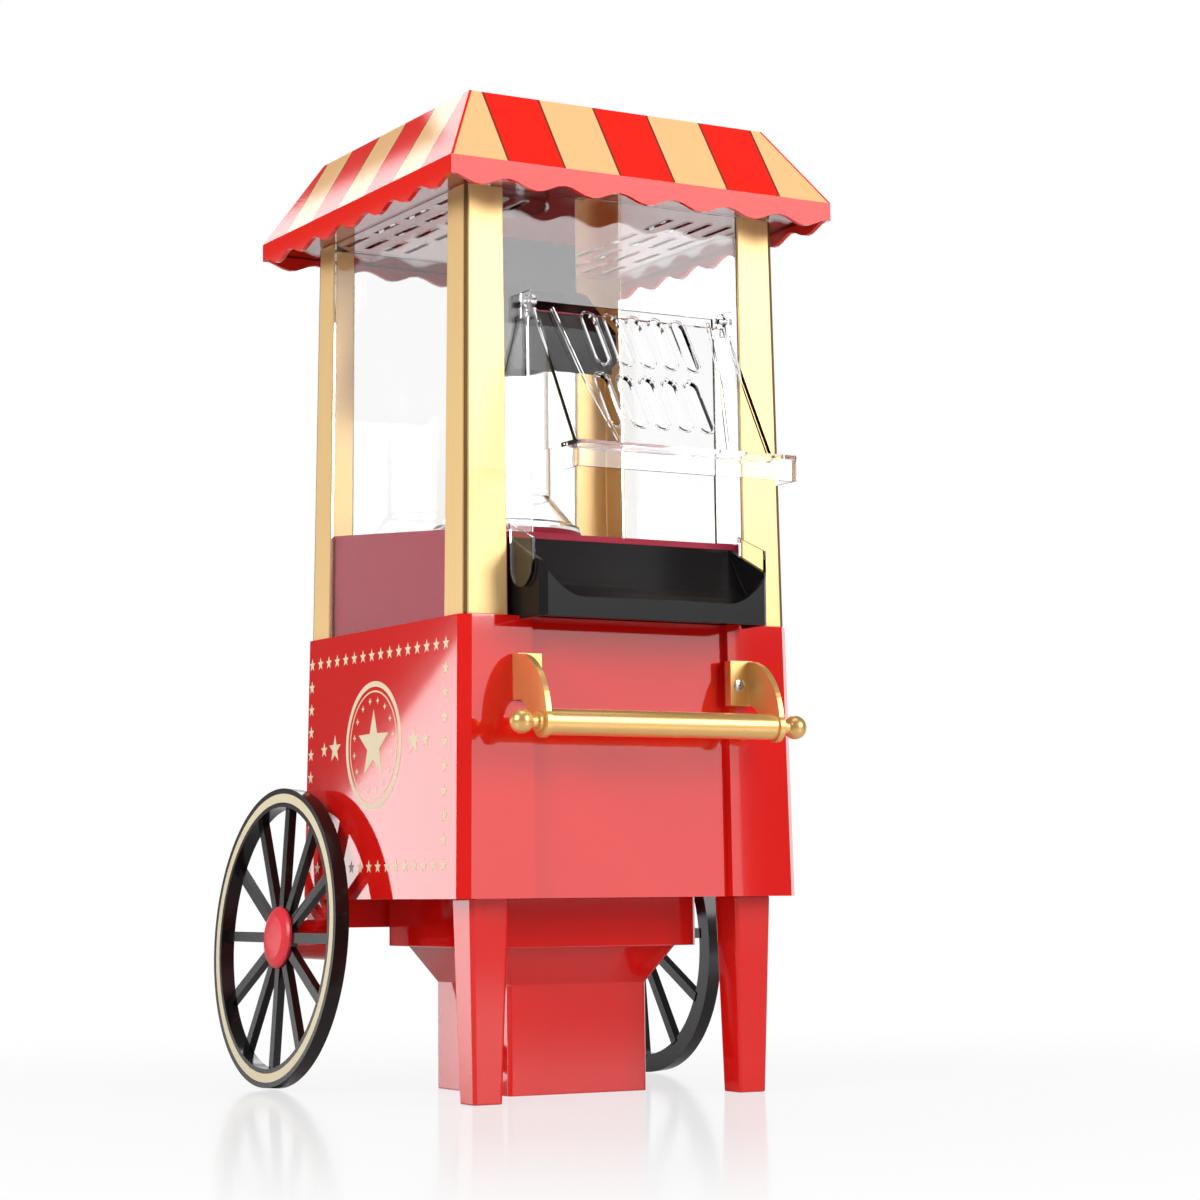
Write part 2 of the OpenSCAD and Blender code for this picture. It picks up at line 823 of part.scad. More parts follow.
foot_y = hinge_y - flap_l * sin(flap_tilt);
foot_z = hinge_z - flap_l * cos(flap_tilt);
wing_z = foot_z + 4.5;
wing_y = -(cabin_y(wing_z) - sheet_set + 0.6);
slot_row = [5, 44.5];
ledge_x = flap_w / 2 + ledge_over;

// A vent slot with round ends, hanging from its top end
module slot_outline() {
    r = slot_w / 2;
    polygon(concat(
        [for (a = [0 : 22.5 : 180]) [r * cos(a), r * sin(a) - r]],
        [for (a = [180 : 22.5 : 360]) [r * cos(a), r * sin(a) + r - slot_l]]));
}

// The sloping panel in its own frame: hinge at the origin, hanging along -Z
module flap_panel() {
    difference() {
        block(-flap_w / 2 + flap_t / 2, flap_w / 2 - flap_t / 2, -flap_t / 2, flap_t / 2,
            -flap_l, -eye_r - 1.5);
        for (k = [0, 1], i = [0 : slot_n - 1])
            translate([(i - (slot_n - 1) / 2) * slot_pitch + k * slot_shift, 0, -slot_row[k]])
                front_plate(-flap_t, 2 * flap_t) rotate(slot_lean) slot_outline();
    }
}

module wing_outline() {
    polygon([
        [hinge_y - 1, hinge_z + 1], [hinge_y + 1.2, hinge_z], [wing_y, hinge_z - 12],
        [wing_y, wing_z], [foot_y, foot_z + 0.6], [foot_y - flap_t / 2, foot_z + 1.6]
    ]);
    translate([hinge_y, hinge_z]) circle(r = eye_r);
}

module flap() {
    color(clear)
        difference() {
            union() {
                translate([0, hinge_y, hinge_z]) rotate([-flap_tilt, 0, 0]) flap_panel();
                both_sides() side_plate(flap_w / 2 - flap_t, flap_t) wing_outline();
                block(-ledge_x, ledge_x, foot_y - ledge_d, foot_y + 3, foot_z, foot_z + flap_t);
                block(-ledge_x, ledge_x, foot_y - ledge_d, foot_y - ledge_d + flap_t,
                    foot_z + flap_t - ledge_lip, foot_z + flap_t);
                both_sides()
                    block(ledge_x - flap_t, ledge_x, foot_y - ledge_d, foot_y + 3,
                        foot_z + flap_t - ledge_lip, foot_z + flap_t);
            }
            both_sides()
                rod_x(pin_r + run_gap, flap_w / 2 - flap_t - 1, flap_w / 2 + 1, hinge_y, hinge_z);
        }
}

// ---- Scoop tray ----

tray_x = post_x - tray_gap;
tray_y0 = -(body_d / 2 + tray_reach);
tray_y1 = -(body_d / 2 - bed_front_set) - slip_gap;
tray_z0 = deck_z + slip_gap;
tray_skirt = 2.2;
ramp_t = 2;
ramp_z0 = deck_z + 3;
ramp_n = 12;

function ramp_y(t) = tray_y0 + tray_t / 2 + t * (tray_y1 - tray_y0 - tray_t / 2);
function ramp_z(t) = ramp_z0 + (deck_z + tray_back_h - ramp_t - ramp_z0) * (1 - cos(90 * t));

module tray_side() {
    polygon([
        [tray_y0, deck_z - tray_skirt], [-body_d / 2 - 3, deck_z - tray_skirt],
        [-body_d / 2 - 3, tray_z0], [tray_y1, tray_z0], [tray_y1, deck_z + tray_back_h],
        [tray_y0, deck_z + corner_h]
    ]);
}

module ramp_outline() {
    polygon(concat(
        [for (i = [0 : ramp_n]) [ramp_y(i / ramp_n), ramp_z(i / ramp_n) + ramp_t]],
        [for (i = [ramp_n : -1 : 0]) [ramp_y(i / ramp_n), ramp_z(i / ramp_n)]]));
}

// Front wall with a low lip that sweeps up at both ends
module tray_front() {
    ends = [for (i = [0 : 8]) [tray_x - lip_curve * i / 8,
        deck_z + lip_h + (corner_h - lip_h) * (1 - sin(90 * i / 8))]];
    polygon(concat(
        [[-tray_x, deck_z - tray_skirt], [tray_x, deck_z - tray_skirt]], ends,
        [for (i = [8 : -1 : 0]) [-ends[i][0], ends[i][1]]]));
}

// Cutter for the bevel down a front corner
module tray_bevel() {
    side = tray_cut * sqrt(2);
    translate([tray_x, tray_y0, deck_z - tray_skirt - 1]) rotate([0, 0, 45])
        translate([-side / 2, -side / 2, 0]) cube([side, side, corner_h + 10]);
}

module tray() {
    color(black)
        difference() {
            union() {
                both_sides() side_plate(tray_x - tray_t, tray_t) tray_side();
                front_plate(tray_y0, tray_t) tray_front();
                side_plate(-tray_x + 1, 2 * tray_x - 2) ramp_outline();
                block(-tray_x, tray_x, tray_y0, tray_y1, tray_z0, tray_z0 + 1.6);
            }
            both_sides() tray_bevel();
        }
}

// ---- Popcorn bed, popper and hood ----

bed_x = cabin_x(deck_z + bed_rear_h) - sheet_set - sheet_t - bed_side_gap;
bed_y0 = -(body_d / 2 - bed_front_set);
bed_y1 = cabin_y(deck_z + bed_rear_h) - sheet_set - sheet_t - bed_side_gap;
collar_r = chamber_r + 5;
collar_z = deck_z + bed_rear_h + 1;

module bed_outline(drop) {
    polygon([
        [bed_y0, deck_z], [bed_y1, deck_z], [bed_y1, deck_z + bed_rear_h - drop],
        [bed_y0, deck_z + bed_front_h - drop]
    ]);
}

module popcorn_bed() {
    color([0.55, 0.12, 0.2])
        difference() {
            union() {
                difference() {
                    side_plate(-bed_x, 2 * bed_x) bed_outline(0);
                    intersection() {
                        side_plate(-bed_x + bed_t, 2 * (bed_x - bed_t))
                            translate([0, -eps]) bed_outline(bed_t);
                        block(-far, far, bed_y0 + bed_t, bed_y1 - bed_t, deck_z - 1, far);
                    }
                }
                translate([0, popper_y, collar_z - 13]) cylinder(r = collar_r, h = 13);
            }
            translate([0, popper_y, deck_z - 1]) cylinder(r = chamber_r + 0.3, h = far);
        }
}

chamber_z = collar_z - chamber_h;
air_slots = 14;

module popping_chamber() {
    color(steel)
        translate([0, popper_y, chamber_z])
            difference() {
                union() {
                    cylinder(r = chamber_r, h = chamber_h);
                    translate([0, 0, chamber_h]) cylinder(r = collar_r - 0.6, h = 1.5);
                }
                translate([0, 0, 2]) cylinder(r = chamber_r - chamber_t, h = chamber_h);
                for (i = [0 : air_slots - 1])
                    rotate([0, 0, i * 360 / air_slots])
                        translate([chamber_r - 14, -1, -1]) cube([9, 2, 4]);
            }
}

chimney_z = collar_z + 1.5;
flare_h = 17;

module chimney() {
    color(clear)
        translate([0, popper_y, chimney_z])
            rotate_extrude()
                polygon([
                    [chimney_r - chimney_t, chimney_h], [chimney_r, chimney_h],
                    [chimney_r, flare_h + chimney_t], [collar_r - 4, 3], [collar_r - 1, 1.6],
                    [collar_r - 1, 0], [collar_r - 4 - chimney_t, 0], [collar_r - 4 - chimney_t, 2],
                    [chimney_r - chimney_t, flare_h]
                ]);
}

hood_z = ceiling_z - hood_h;
hood_t = 2;
hood_y0 = popper_y - hood_r;
spout_y = hood_y0 - spout_l;
spout_top0 = hood_z + hood_h * 0.31;
spout_top1 = hood_z + hood_h * 2 / 3;
spout_corner = 11;
hood_lift = 12;             // how far the column's foot stays above the spout's mouth

module spout_side(drop) {
    polygon([
        [spout_y + drop, hood_z - (drop > 0 ? 1 : 0)],
        [hood_y0 + hood_t, hood_z + (drop > 0 ? -1 : hood_lift)],
        [hood_y0 + hood_t, spout_top1 - drop], [spout_y + drop, spout_top0 - drop]
    ]);
}

// Plan of the column: square towards the spout, round at the back
module hood_plan(r) {
    polygon(concat([[-r, -r], [r, -r]], [for (a = [0 : 10 : 180]) [r * cos(a), r * sin(a)]]));
}

// Column over the chimney with a spout that turns the popcorn forward and down
module outlet_hood() {
    color(black)
        difference() {
            union() {
                translate([0, popper_y, hood_z + hood_lift])
                    linear_extrude(height = hood_h - hood_lift) hood_plan(hood_r);
                side_plate(-spout_r, 2 * spout_r) spout_side(0);
            }
            translate([0, popper_y, hood_z - 1])
                linear_extrude(height = hood_h + 1 - hood_t) hood_plan(hood_r - hood_t);
            side_plate(-spout_r + hood_t, 2 * (spout_r - hood_t)) spout_side(hood_t);
            block(-hood_r + hood_t, hood_r - hood_t, hood_y0 - 1, hood_y0 + 2 * hood_t,
                hood_z - 1, spout_top1 - hood_t);
            both_sides()
                translate([spout_r, spout_y, hood_z]) rotate([0, 45, 0])
                    cube([spout_corner, 12, spout_corner], center = true);
            translate([0, popper_y, ceiling_z - hood_t - 1]) cylinder(r = cup_r + 1, h = hood_t + 2);
        }
}

// ---- Ceiling, roof and measuring cap ----

ceiling_x = eave_w / 2 - wall - 1.2;
ceiling_y0 = roof_y - (eave_d / 2 - wall - 1.2);
ceiling_y1 = roof_y + (eave_d / 2 - wall - 1.2);
vent_x = [42, 54, 66, 78];
vent_y = [-64, -27, 10, 47];

module ceiling() {
    color(clear)
        difference() {
            block(-ceiling_x, ceiling_x, ceiling_y0, ceiling_y1, ceiling_z, ceiling_top);
            translate([0, popper_y, ceiling_z - 1]) cylinder(r = cup_r + 1, h = ceiling_t + 2);
            both_sides()
                for (x = vent_x, y = vent_y)
                    block(x, x + vent_w, y, y + vent_l, ceiling_z - 1, ceiling_top + 1);
        }
}

// Valance profile in the plane of one side: flat on top, scalloped below
module valance(half) {
    steps = 56;
    polygon(concat(
        [for (i = [0 : steps]) let (u = half * (2 * i / steps - 1))
            [u, eave_z - valance_h - scallop_h * (1 + cos(360 * u / stripe_w)) / 2]],
        [[half, eave_z], [-half, eave_z]]));
}

ledge_in = 5;

module roof_form(margin, z0, z1) {
    translate([0, roof_y, z0])
        taper(eave_w + 2 * margin, eave_d + 2 * margin, top_w + 2 * margin, top_d + 2 * margin,
            z1 - z0);
}

module roof() {
    color(red)
        difference() {
            union() {
                difference() {
                    roof_form(0, eave_z, roof_top);
                    roof_form(-wall - 0.6, eave_z - 0.5, roof_top - wall);
                }
                difference() {
                    block(-eave_w / 2, eave_w / 2, roof_y - eave_d / 2, roof_y + eave_d / 2,
                        ceiling_top, eave_z);
                    block(-eave_w / 2 + wall + ledge_in, eave_w / 2 - wall - ledge_in,
                        roof_y - eave_d / 2 + wall + ledge_in, roof_y + eave_d / 2 - wall - ledge_in,
                        ceiling_top - 1, eave_z + 1);
                }
                intersection() {
                    union() {
                        for (s = [-1, 1])
                            front_plate(roof_y + s * (eave_d / 2 - wall / 2) - wall / 2, wall)
                                valance(eave_w / 2);
                        for (s = [-1, 1])
                            side_plate(s * (eave_w / 2 - wall / 2) - wall / 2, wall)
                                translate([roof_y, 0]) valance(eave_d / 2);
                    }
                    block(-far, far, -far, far, 0, eave_z);
                }
            }
            translate([0, popper_y, roof_top - 2 * wall]) cylinder(r = cup_r + slip_gap, h = 4 * wall);
        }
}

module measuring_cap() {
    color(clear)
        translate([0, popper_y, roof_top - cup_h]) {
            difference() {
                cylinder(r = cup_r, h = cup_h + 2);
                translate([0, 0, 1.6]) cylinder(r = cup_r - 1.6, h = cup_h + 2);
            }
            translate([0, 0, cup_h + slip_gap]) tube(cup_r + 6, 6.5, 1.8);
            translate([cup_r + 4, -6, cup_h + slip_gap]) cube([12, 12, 1.8]);
        }
}

// ---- Fan, motor and heater ----

base_z = body_z + plate_t;
mount_t = 2.4;
motor_z = base_z + mount_t;
fan_z = motor_z + motor_h + 4;
heater_h = 42;
heater_z = chamber_z - heater_h;
shroud_r = chamber_r + 1.6;
shroud_t = 2;
flange_w = 6;              // width and thickness of the flange at the shroud's foot
flange_t = 2.2;
shaft_r = 1.6;

module fan_shroud() {
    color(black)
        translate([0, popper_y, base_z]) {
            tube(shroud_r + flange_w, flange_w + shroud_t, flange_t);
            tube(shroud_r, shroud_t, heater_z - base_z);
        }
}

module motor_mount() {
    color(steel)
        translate([0, popper_y, base_z])
            difference() {
                union() {
                    cylinder(r = motor_r + 2, h = mount_t);
                    for (a = [0, 90])
                        rotate([0, 0, a + 45])
                            translate([-shroud_r + shroud_t + 0.3, -4, 0])
                                cube([2 * (shroud_r - shroud_t - 0.3), 8, mount_t]);
                }
                translate([0, 0, -1]) cylinder(r = 6, h = mount_t + 2);
            }
}

module motor() {
    color(steel)
        translate([0, popper_y, motor_z])
            difference() {
                union() {
                    cylinder(r = motor_r, h = motor_h);
                    translate([0, 0, motor_h]) cylinder(r = 5, h = 2);
                }
                translate([0, 0, 4]) cylinder(r = shaft_r + run_gap, h = motor_h);
            }
}

module motor_shaft() {
    color(steel) translate([0, popper_y, motor_z + 4.4]) cylinder(r = shaft_r, h = fan_z - motor_z + 2);
}

blade_x = 8;                // where a blade starts, and its thickness
blade_t = 1.6;

module fan_impeller() {
    color(black)
        translate([0, popper_y, fan_z])
            difference() {
                union() {
                    cylinder(r = fan_r, h = 1.6);
                    cylinder(r = 6, h = blade_h);
                    for (i = [0 : blade_n - 1])
                        rotate([0, 0, i * 360 / blade_n]) translate([blade_x, -blade_t / 2, 1])
                            rotate([0, 0, 18]) cube([fan_r - blade_x - 3, blade_t, blade_h - 1]);
                }
                translate([0, 0, -1]) cylinder(r = shaft_r, h = blade_h + 3);
            }
}

module heater_housing() {
    color(steel) translate([0, popper_y, heater_z]) {
        tube(shroud_r, 1.2, chamber_z - heater_z);
        translate([0, 0, chamber_z - heater_z - 1.5]) tube(chamber_r, 5, 1.5);
        tube(shroud_r, 4, 1.5);
    }
}

former_r = coil_r - wire_r - 0.2;
former_h = 30;
former_z = heater_z + 1.5;
coil_turns = 5;
coil_z = 6;
coil_pitch = 4.5;

module heater_former() {
    color([0.8, 0.76, 0.66])
        translate([0, popper_y, former_z])
            for (a = [0, 90])
                rotate([0, 0, a]) {
                    translate([-former_r, -0.6, 0]) cube([2 * former_r, 1.2, former_h]);
                    translate([-shroud_r + 1.4, -0.6, 0]) cube([2 * shroud_r - 2.8, 1.2, 2]);
                }
}

module heater_coil() {
    color(steel)
        translate([0, popper_y, former_z + coil_z])
            for (i = [0 : coil_turns - 1])
                translate([0, 0, i * coil_pitch]) rotate_extrude() translate([coil_r, 0]) circle(r = wire_r);
}

therm_w = 12;
therm_h = 14;
therm_t = 3;

module thermostat() {
    color(steel)
        translate([shroud_r + 0.2, popper_y - therm_w / 2, heater_z + therm_t + 5]) {
            cube([therm_t, therm_w, therm_h]);
            translate([therm_t, therm_w / 2, therm_h / 2]) rotate([0, 90, 0])
                cylinder(r = 5, h = therm_t);
        }
}

// ---- Switch and cord inlet ----

bezel_out = 1.6;
rocker_t = 7;
rocker_y = rear_face - 1.5;

module switch_bezel() {
    color(black)
        difference() {
            union() {
                block(switch_x - rocker_w / 2 - bezel_rim, switch_x + rocker_w / 2 + bezel_rim,
                    rear_face - 1, rear_face + bezel_out,
                    switch_z - rocker_h / 2 - bezel_rim, switch_z + rocker_h / 2 + bezel_rim);
                block(switch_x - rocker_w / 2 - bezel_rim / 2 + 0.1,
                    switch_x + rocker_w / 2 + bezel_rim / 2 - 0.1,
                    rear_face - 14, rear_face,
                    switch_z - rocker_h / 2 - bezel_rim / 2 + 0.1,
                    switch_z + rocker_h / 2 + bezel_rim / 2 - 0.1);
            }
            difference() {
                body_block(0, body_z, deck_z, corner_cut);
                block(switch_x - rocker_w / 2 - bezel_rim / 2 + 0.1,
                    switch_x + rocker_w / 2 + bezel_rim / 2 - 0.1,
                    rear_face - 20, rear_face + 5,
                    switch_z - rocker_h / 2 - bezel_rim / 2 + 0.1,
                    switch_z + rocker_h / 2 + bezel_rim / 2 - 0.1);
            }
            block(switch_x - rocker_w / 2 - slip_gap, switch_x + rocker_w / 2 + slip_gap,
                rear_face - 12, rear_face + 5,
                switch_z - rocker_h / 2 - slip_gap, switch_z + rocker_h / 2 + slip_gap);
            rod_x(1 + run_gap, switch_x - rocker_w / 2 - 1.1, switch_x + rocker_w / 2 + 1.1,
                rocker_y, switch_z);
        }
}

// Rocker with its lower half pressed in, turning on two stub pins
module switch_rocker() {
    color(black) {
        translate([switch_x, rocker_y, switch_z]) rotate([-8, 0, 0])
            side_plate(-rocker_w / 2, rocker_w)
                polygon([
                    [-5, -rocker_h / 2 + 2.4], [2.6, -rocker_h / 2 + 1.1], [1.9, 0],
                    [2.6, rocker_h / 2 - 1.1], [-5, rocker_h / 2 - 2.4]
                ]);
        rod_x(1, switch_x - rocker_w / 2 - 0.9, switch_x + rocker_w / 2 + 0.9, rocker_y, switch_z);
    }
}

module cord_gland() {
    color(black)
        translate([-inlet_x, inlet_face - wall - 3, inlet_z]) rotate([-90, 0, 0])
            difference() {
                union() {
                    cylinder(r = inlet_r + 2.2, h = wall + 6);
                    translate([0, 0, wall + 3.2]) cylinder(r = inlet_r + 4.4, h = 2.8);
                    cylinder(r = inlet_r + 4.4, h = 2.6);
                }
                translate([0, 0, -1]) cylinder(r = inlet_r, h = wall + 8);
            }
}

body_shell();
floor_plate();
hopper();
base_cover();
base_screws();
left_leg();
right_leg();
axle_beam();
axle_pins();
left_wheel();
left_rim_band();
left_hub_cap();
right_wheel();
right_rim_band();
right_hub_cap();
left_bracket();
right_bracket();
bracket_screws();
handle_bar();
front_left_post();
front_right_post();
rear_left_post();
rear_right_post();
left_window();
right_window();
rear_window();
front_window();
hinge_pins();
flap();
tray();
popcorn_bed();
popping_chamber();
chimney();
outlet_hood();
ceiling();
roof();
measuring_cap();
fan_shroud();
motor_mount();
motor();
motor_shaft();
fan_impeller();
heater_housing();
heater_former();
heater_coil();
thermostat();
switch_bezel();
switch_rocker();
cord_gland();
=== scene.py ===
# %% [markdown]
# # Dressing a cart-shaped popcorn maker
# The popcorn maker is a small street cart: a glossy red cabinet on legs and spoked wheels, a
# clear cabin between gold posts, and a striped awning. Its solids arrive ready made and in
# place. This file gives them rounded edges and finishes, adds the fine pieces that solids are
# too coarse for, and sets up a plain studio.
#
# The first cell loads the solids. They could be modelled again here, but then every size would
# have to be kept twice, so they are loaded and left where they stand.

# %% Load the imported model
import math

import bmesh
import bpy
from mathutils import Matrix, Vector


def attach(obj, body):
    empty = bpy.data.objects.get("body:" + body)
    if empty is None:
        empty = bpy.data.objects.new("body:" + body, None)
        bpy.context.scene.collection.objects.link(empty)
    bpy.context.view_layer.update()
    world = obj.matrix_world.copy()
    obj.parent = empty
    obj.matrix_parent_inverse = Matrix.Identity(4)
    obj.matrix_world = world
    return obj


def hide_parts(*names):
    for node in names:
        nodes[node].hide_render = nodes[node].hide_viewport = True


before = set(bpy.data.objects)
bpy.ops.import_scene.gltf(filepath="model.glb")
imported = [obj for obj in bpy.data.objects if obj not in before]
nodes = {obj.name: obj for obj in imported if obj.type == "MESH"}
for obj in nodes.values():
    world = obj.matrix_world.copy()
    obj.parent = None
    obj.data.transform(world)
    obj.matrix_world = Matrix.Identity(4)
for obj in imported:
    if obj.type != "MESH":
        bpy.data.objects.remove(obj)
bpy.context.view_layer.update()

# %% [markdown]
# ## The camera
# The maker is seen from low down at its front left corner, so the awning's underside shows and
# the wheel stands beside the cabinet. A camera can be aimed with a constraint or with angles.
# Here its axes are worked out from yaw, pitch and roll, which keeps a small roll exact.

# %% Camera
YAW, PITCH, ROLL = math.radians(-29.95), math.radians(5.67), math.radians(-0.49)
CAMERA_AT = Vector((-0.7457, -1.3550, 0.1039))
SENSOR, FOCAL_PIXELS, FRAME_PIXELS = 36.0, 2918.62, 1200.0
LENS = SENSOR * FOCAL_PIXELS / FRAME_PIXELS

forward = Vector((
    -math.sin(YAW) * math.cos(PITCH),
    math.cos(YAW) * math.cos(PITCH),
    math.sin(PITCH),
))
flat_right = forward.cross(Vector((0, 0, 1))).normalized()
flat_up = flat_right.cross(forward)
right = math.cos(ROLL) * flat_right + math.sin(ROLL) * flat_up
up = math.cos(ROLL) * flat_up - math.sin(ROLL) * flat_right

camera_data = bpy.data.cameras.new("studio_camera")
camera_data.sensor_width = SENSOR
camera_data.lens = LENS
camera_data.clip_start, camera_data.clip_end = 0.02, 50.0
camera = bpy.data.objects.new("studio_camera", camera_data)
axes = Matrix((right, up, -forward)).transposed()
camera.matrix_world = Matrix.Translation(CAMERA_AT) @ axes.to_4x4()
scene = bpy.context.scene
scene.collection.objects.link(camera)
scene.camera = camera
print("camera", [round(v, 3) for v in CAMERA_AT], "lens", round(LENS, 1))

# %% [markdown]
# ## The studio
# The maker stands on a white table in front of a white wall, with a faint mirror image under
# it. The white could come from strong lamps, but they would wash the red out too. So the world
# shows full white only to the camera and through glass, and lights the object more gently.
#
# What the world shows is worked out with Math nodes. They could be placed one by one, but the
# same few steps come back all through this file, so the next cell gives each a short name.


# %% Node helpers
def add(tree, kind, **values):
    """A new node in a tree, with its properties and input values set."""
    node = tree.nodes.new(kind)
    for name, value in values.items():
        if hasattr(node, name):
            setattr(node, name, value)
        else:
            node.inputs[name.replace("_", " ")].default_value = value
    return node


def feed(tree, value, socket):
    """Links a socket to an input, or sets the input to a plain value."""
    if hasattr(value, "is_output"):
        tree.links.new(value, socket)
    else:
        socket.default_value = value


def math_node(tree, operation, a, b=None, clamp=False):
    """A Math node fed by sockets or plain numbers; returns its output."""
    node = add(tree, "ShaderNodeMath", operation=operation, use_clamp=clamp)
    feed(tree, a, node.inputs[0])
    if b is not None:
        feed(tree, b, node.inputs[1])
    return node.outputs[0]


def plus(tree, a, b):
    """a + b."""
    return math_node(tree, "ADD", a, b)


def minus(tree, a, b):
    """a - b."""
    return math_node(tree, "SUBTRACT", a, b)


def times(tree, a, b):
    """a * b."""
    return math_node(tree, "MULTIPLY", a, b)


def blend(tree, low, high, share):
    """low where share is 0 and high where it is 1; each may be a socket or a number."""
    return plus(tree, times(tree, minus(tree, high, low), share), low)


def ramp(tree, value, low, high):
    """0 below low, 1 above high and a smooth step between; falls instead where high < low."""
    step = add(tree, "ShaderNodeMapRange", interpolation_type="SMOOTHSTEP")
    tree.links.new(value, step.inputs["Value"])
    step.inputs["From Min"].default_value = min(low, high)
    step.inputs["From Max"].default_value = max(low, high)
    step.inputs["To Min"].default_value = 0.0 if low < high else 1.0
    step.inputs["To Max"].default_value = 1.0 if low < high else 0.0
    return step.outputs["Result"]


def seen_directly(tree):
    """1 where a ray comes from the camera or through glass."""
    path = tree.nodes.new("ShaderNodeLightPath")
    return math_node(
        tree, "MAXIMUM", path.outputs["Is Camera Ray"], path.outputs["Is Transmission Ray"]
    )


# %% [markdown]
# ## What the gloss mirrors
# A glossy moulding looks like what it mirrors. An image of a real studio could be wrapped round
# it, but a few smooth steps do as well, and they stay sharp and small. So mirror rays see a
# room of their own:
# - a white wall behind the maker, and a dim room overhead, in front and low at the left
# - a bright card low at the back left, which the cabinet's side mirrors as a slanting sheet
# - pale walls above the card, for the posts, and dim ones above those, for the awning's edge
# - a narrow bright strip high at the back, mirrored by the awning's left slope
#
# Places in this room are slopes. `west` is how far a ray goes left for each metre that it goes
# back, and `lift` is how far it rises. Each pair of numbers is a step from nothing to all.

# %% The room that mirror rays see
WALL, FRONT_ROOM, LEFT_ROOM, LEFT_HIGH, CARD = 1.0, 0.12, 0.10, 0.9, 2.7
BACK_NORTH, BACK_RISE, WALL_EAST = (-0.1, 0.3), (0.62, 0.57), (-0.15, 0.05)
CARD_SLANT, CARD_EDGE, CARD_TOP, CARD_END = 0.725, (0.4245, 0.4305), (0.142, 0.134), (1.3, 1.1)
HIGH_LIFT, EAVE_SLOPE, EAVE_STEP = (0.16, 0.20), 0.5375, (0.0, 0.006)
STRIP_LIFT, STRIP_LEFT, STRIP_RIGHT = (0.44, 0.48), (0.03, 0.01), (-0.05, -0.035)
SHADE_WEST, SHADE_LIFT = (-0.0110, -0.0125), (0.592, 0.580)


def back_left_walls(tree, west, lift):
    """The walls at the back left, with the bright card in front of them."""
    edge = minus(tree, west, times(tree, lift, CARD_SLANT))
    card = times(tree, ramp(tree, edge, *CARD_EDGE), ramp(tree, lift, *CARD_TOP))
    card = times(tree, card, ramp(tree, west, *CARD_END))
    walls = blend(tree, LEFT_ROOM, LEFT_HIGH, ramp(tree, lift, *HIGH_LIFT))
    above = minus(tree, lift, times(tree, west, EAVE_SLOPE))
    walls = blend(tree, walls, LEFT_ROOM, ramp(tree, above, *EAVE_STEP))
    return blend(tree, walls, CARD, card)


def high_strip(tree, west, lift):
    """The strip high at the back, with its shaded corner."""
    shade = times(tree, ramp(tree, west, *SHADE_WEST), ramp(tree, lift, *SHADE_LIFT))
    strip = times(tree, minus(tree, 1.0, shade), ramp(tree, west, *STRIP_LEFT))
    strip = times(tree, strip, ramp(tree, west, *STRIP_RIGHT))
    return blend(tree, LEFT_ROOM, CARD, strip)


def mirrored_room(tree):
    """Brightness of the room in the direction of a mirror ray."""
    direction = tree.nodes.new("ShaderNodeTexCoord")
    heading = tree.nodes.new("ShaderNodeSeparateXYZ")
    tree.links.new(direction.outputs["Generated"], heading.inputs[0])
    east, north, rise = (heading.outputs[axis] for axis in "XYZ")
    west = math_node(tree, "DIVIDE", times(tree, east, -1.0), north)
    lift = math_node(tree, "DIVIDE", rise, north)
    left = back_left_walls(tree, west, lift)
    back = blend(tree, left, WALL, ramp(tree, east, *WALL_EAST))
    back = blend(tree, back, high_strip(tree, west, lift), ramp(tree, lift, *STRIP_LIFT))
    behind = times(tree, ramp(tree, north, *BACK_NORTH), ramp(tree, rise, *BACK_RISE))
    return blend(tree, FRONT_ROOM, back, behind)


print("card", CARD, "wall", WALL)

# %% [markdown]
# The world is one background, whose strength depends on the kind of ray that sees it. A plain
# grey world would be simpler, but the maker would stand in front of grey, and a plain white
# one would wash it out.

# %% World
SKY_LIGHT = 0.50

scene.view_settings.view_transform = "Standard"
world = bpy.data.worlds.new("white_studio")
scene.world = world
world.use_nodes = True
tree = world.node_tree
tree.nodes.clear()

glossy = tree.nodes.new("ShaderNodeLightPath").outputs["Is Glossy Ray"]
direct = seen_directly(tree)
shown = math_node(tree, "MAXIMUM", direct, times(tree, glossy, mirrored_room(tree)))
other = minus(tree, 1.0, math_node(tree, "MAXIMUM", direct, glossy))
studio_white = add(tree, "ShaderNodeBackground", Color=(1, 1, 1, 1))
out = tree.nodes.new("ShaderNodeOutputWorld")
tree.links.new(plus(tree, shown, times(tree, other, SKY_LIGHT)), studio_white.inputs["Strength"])
tree.links.new(studio_white.outputs[0], out.inputs["Surface"])
print("world light", SKY_LIGHT)

# %% [markdown]
# Soft boxes stand for the lamps. Small lamps would give hard dots on the glossy mouldings, and
# large area lamps give long soft highlights. One is high at the front right and lights the
# serving side, with a weak one below it for the front panel. One is a fill at the left. One
# hangs above and one behind for the edges, both where the awning's slopes don't mirror them.

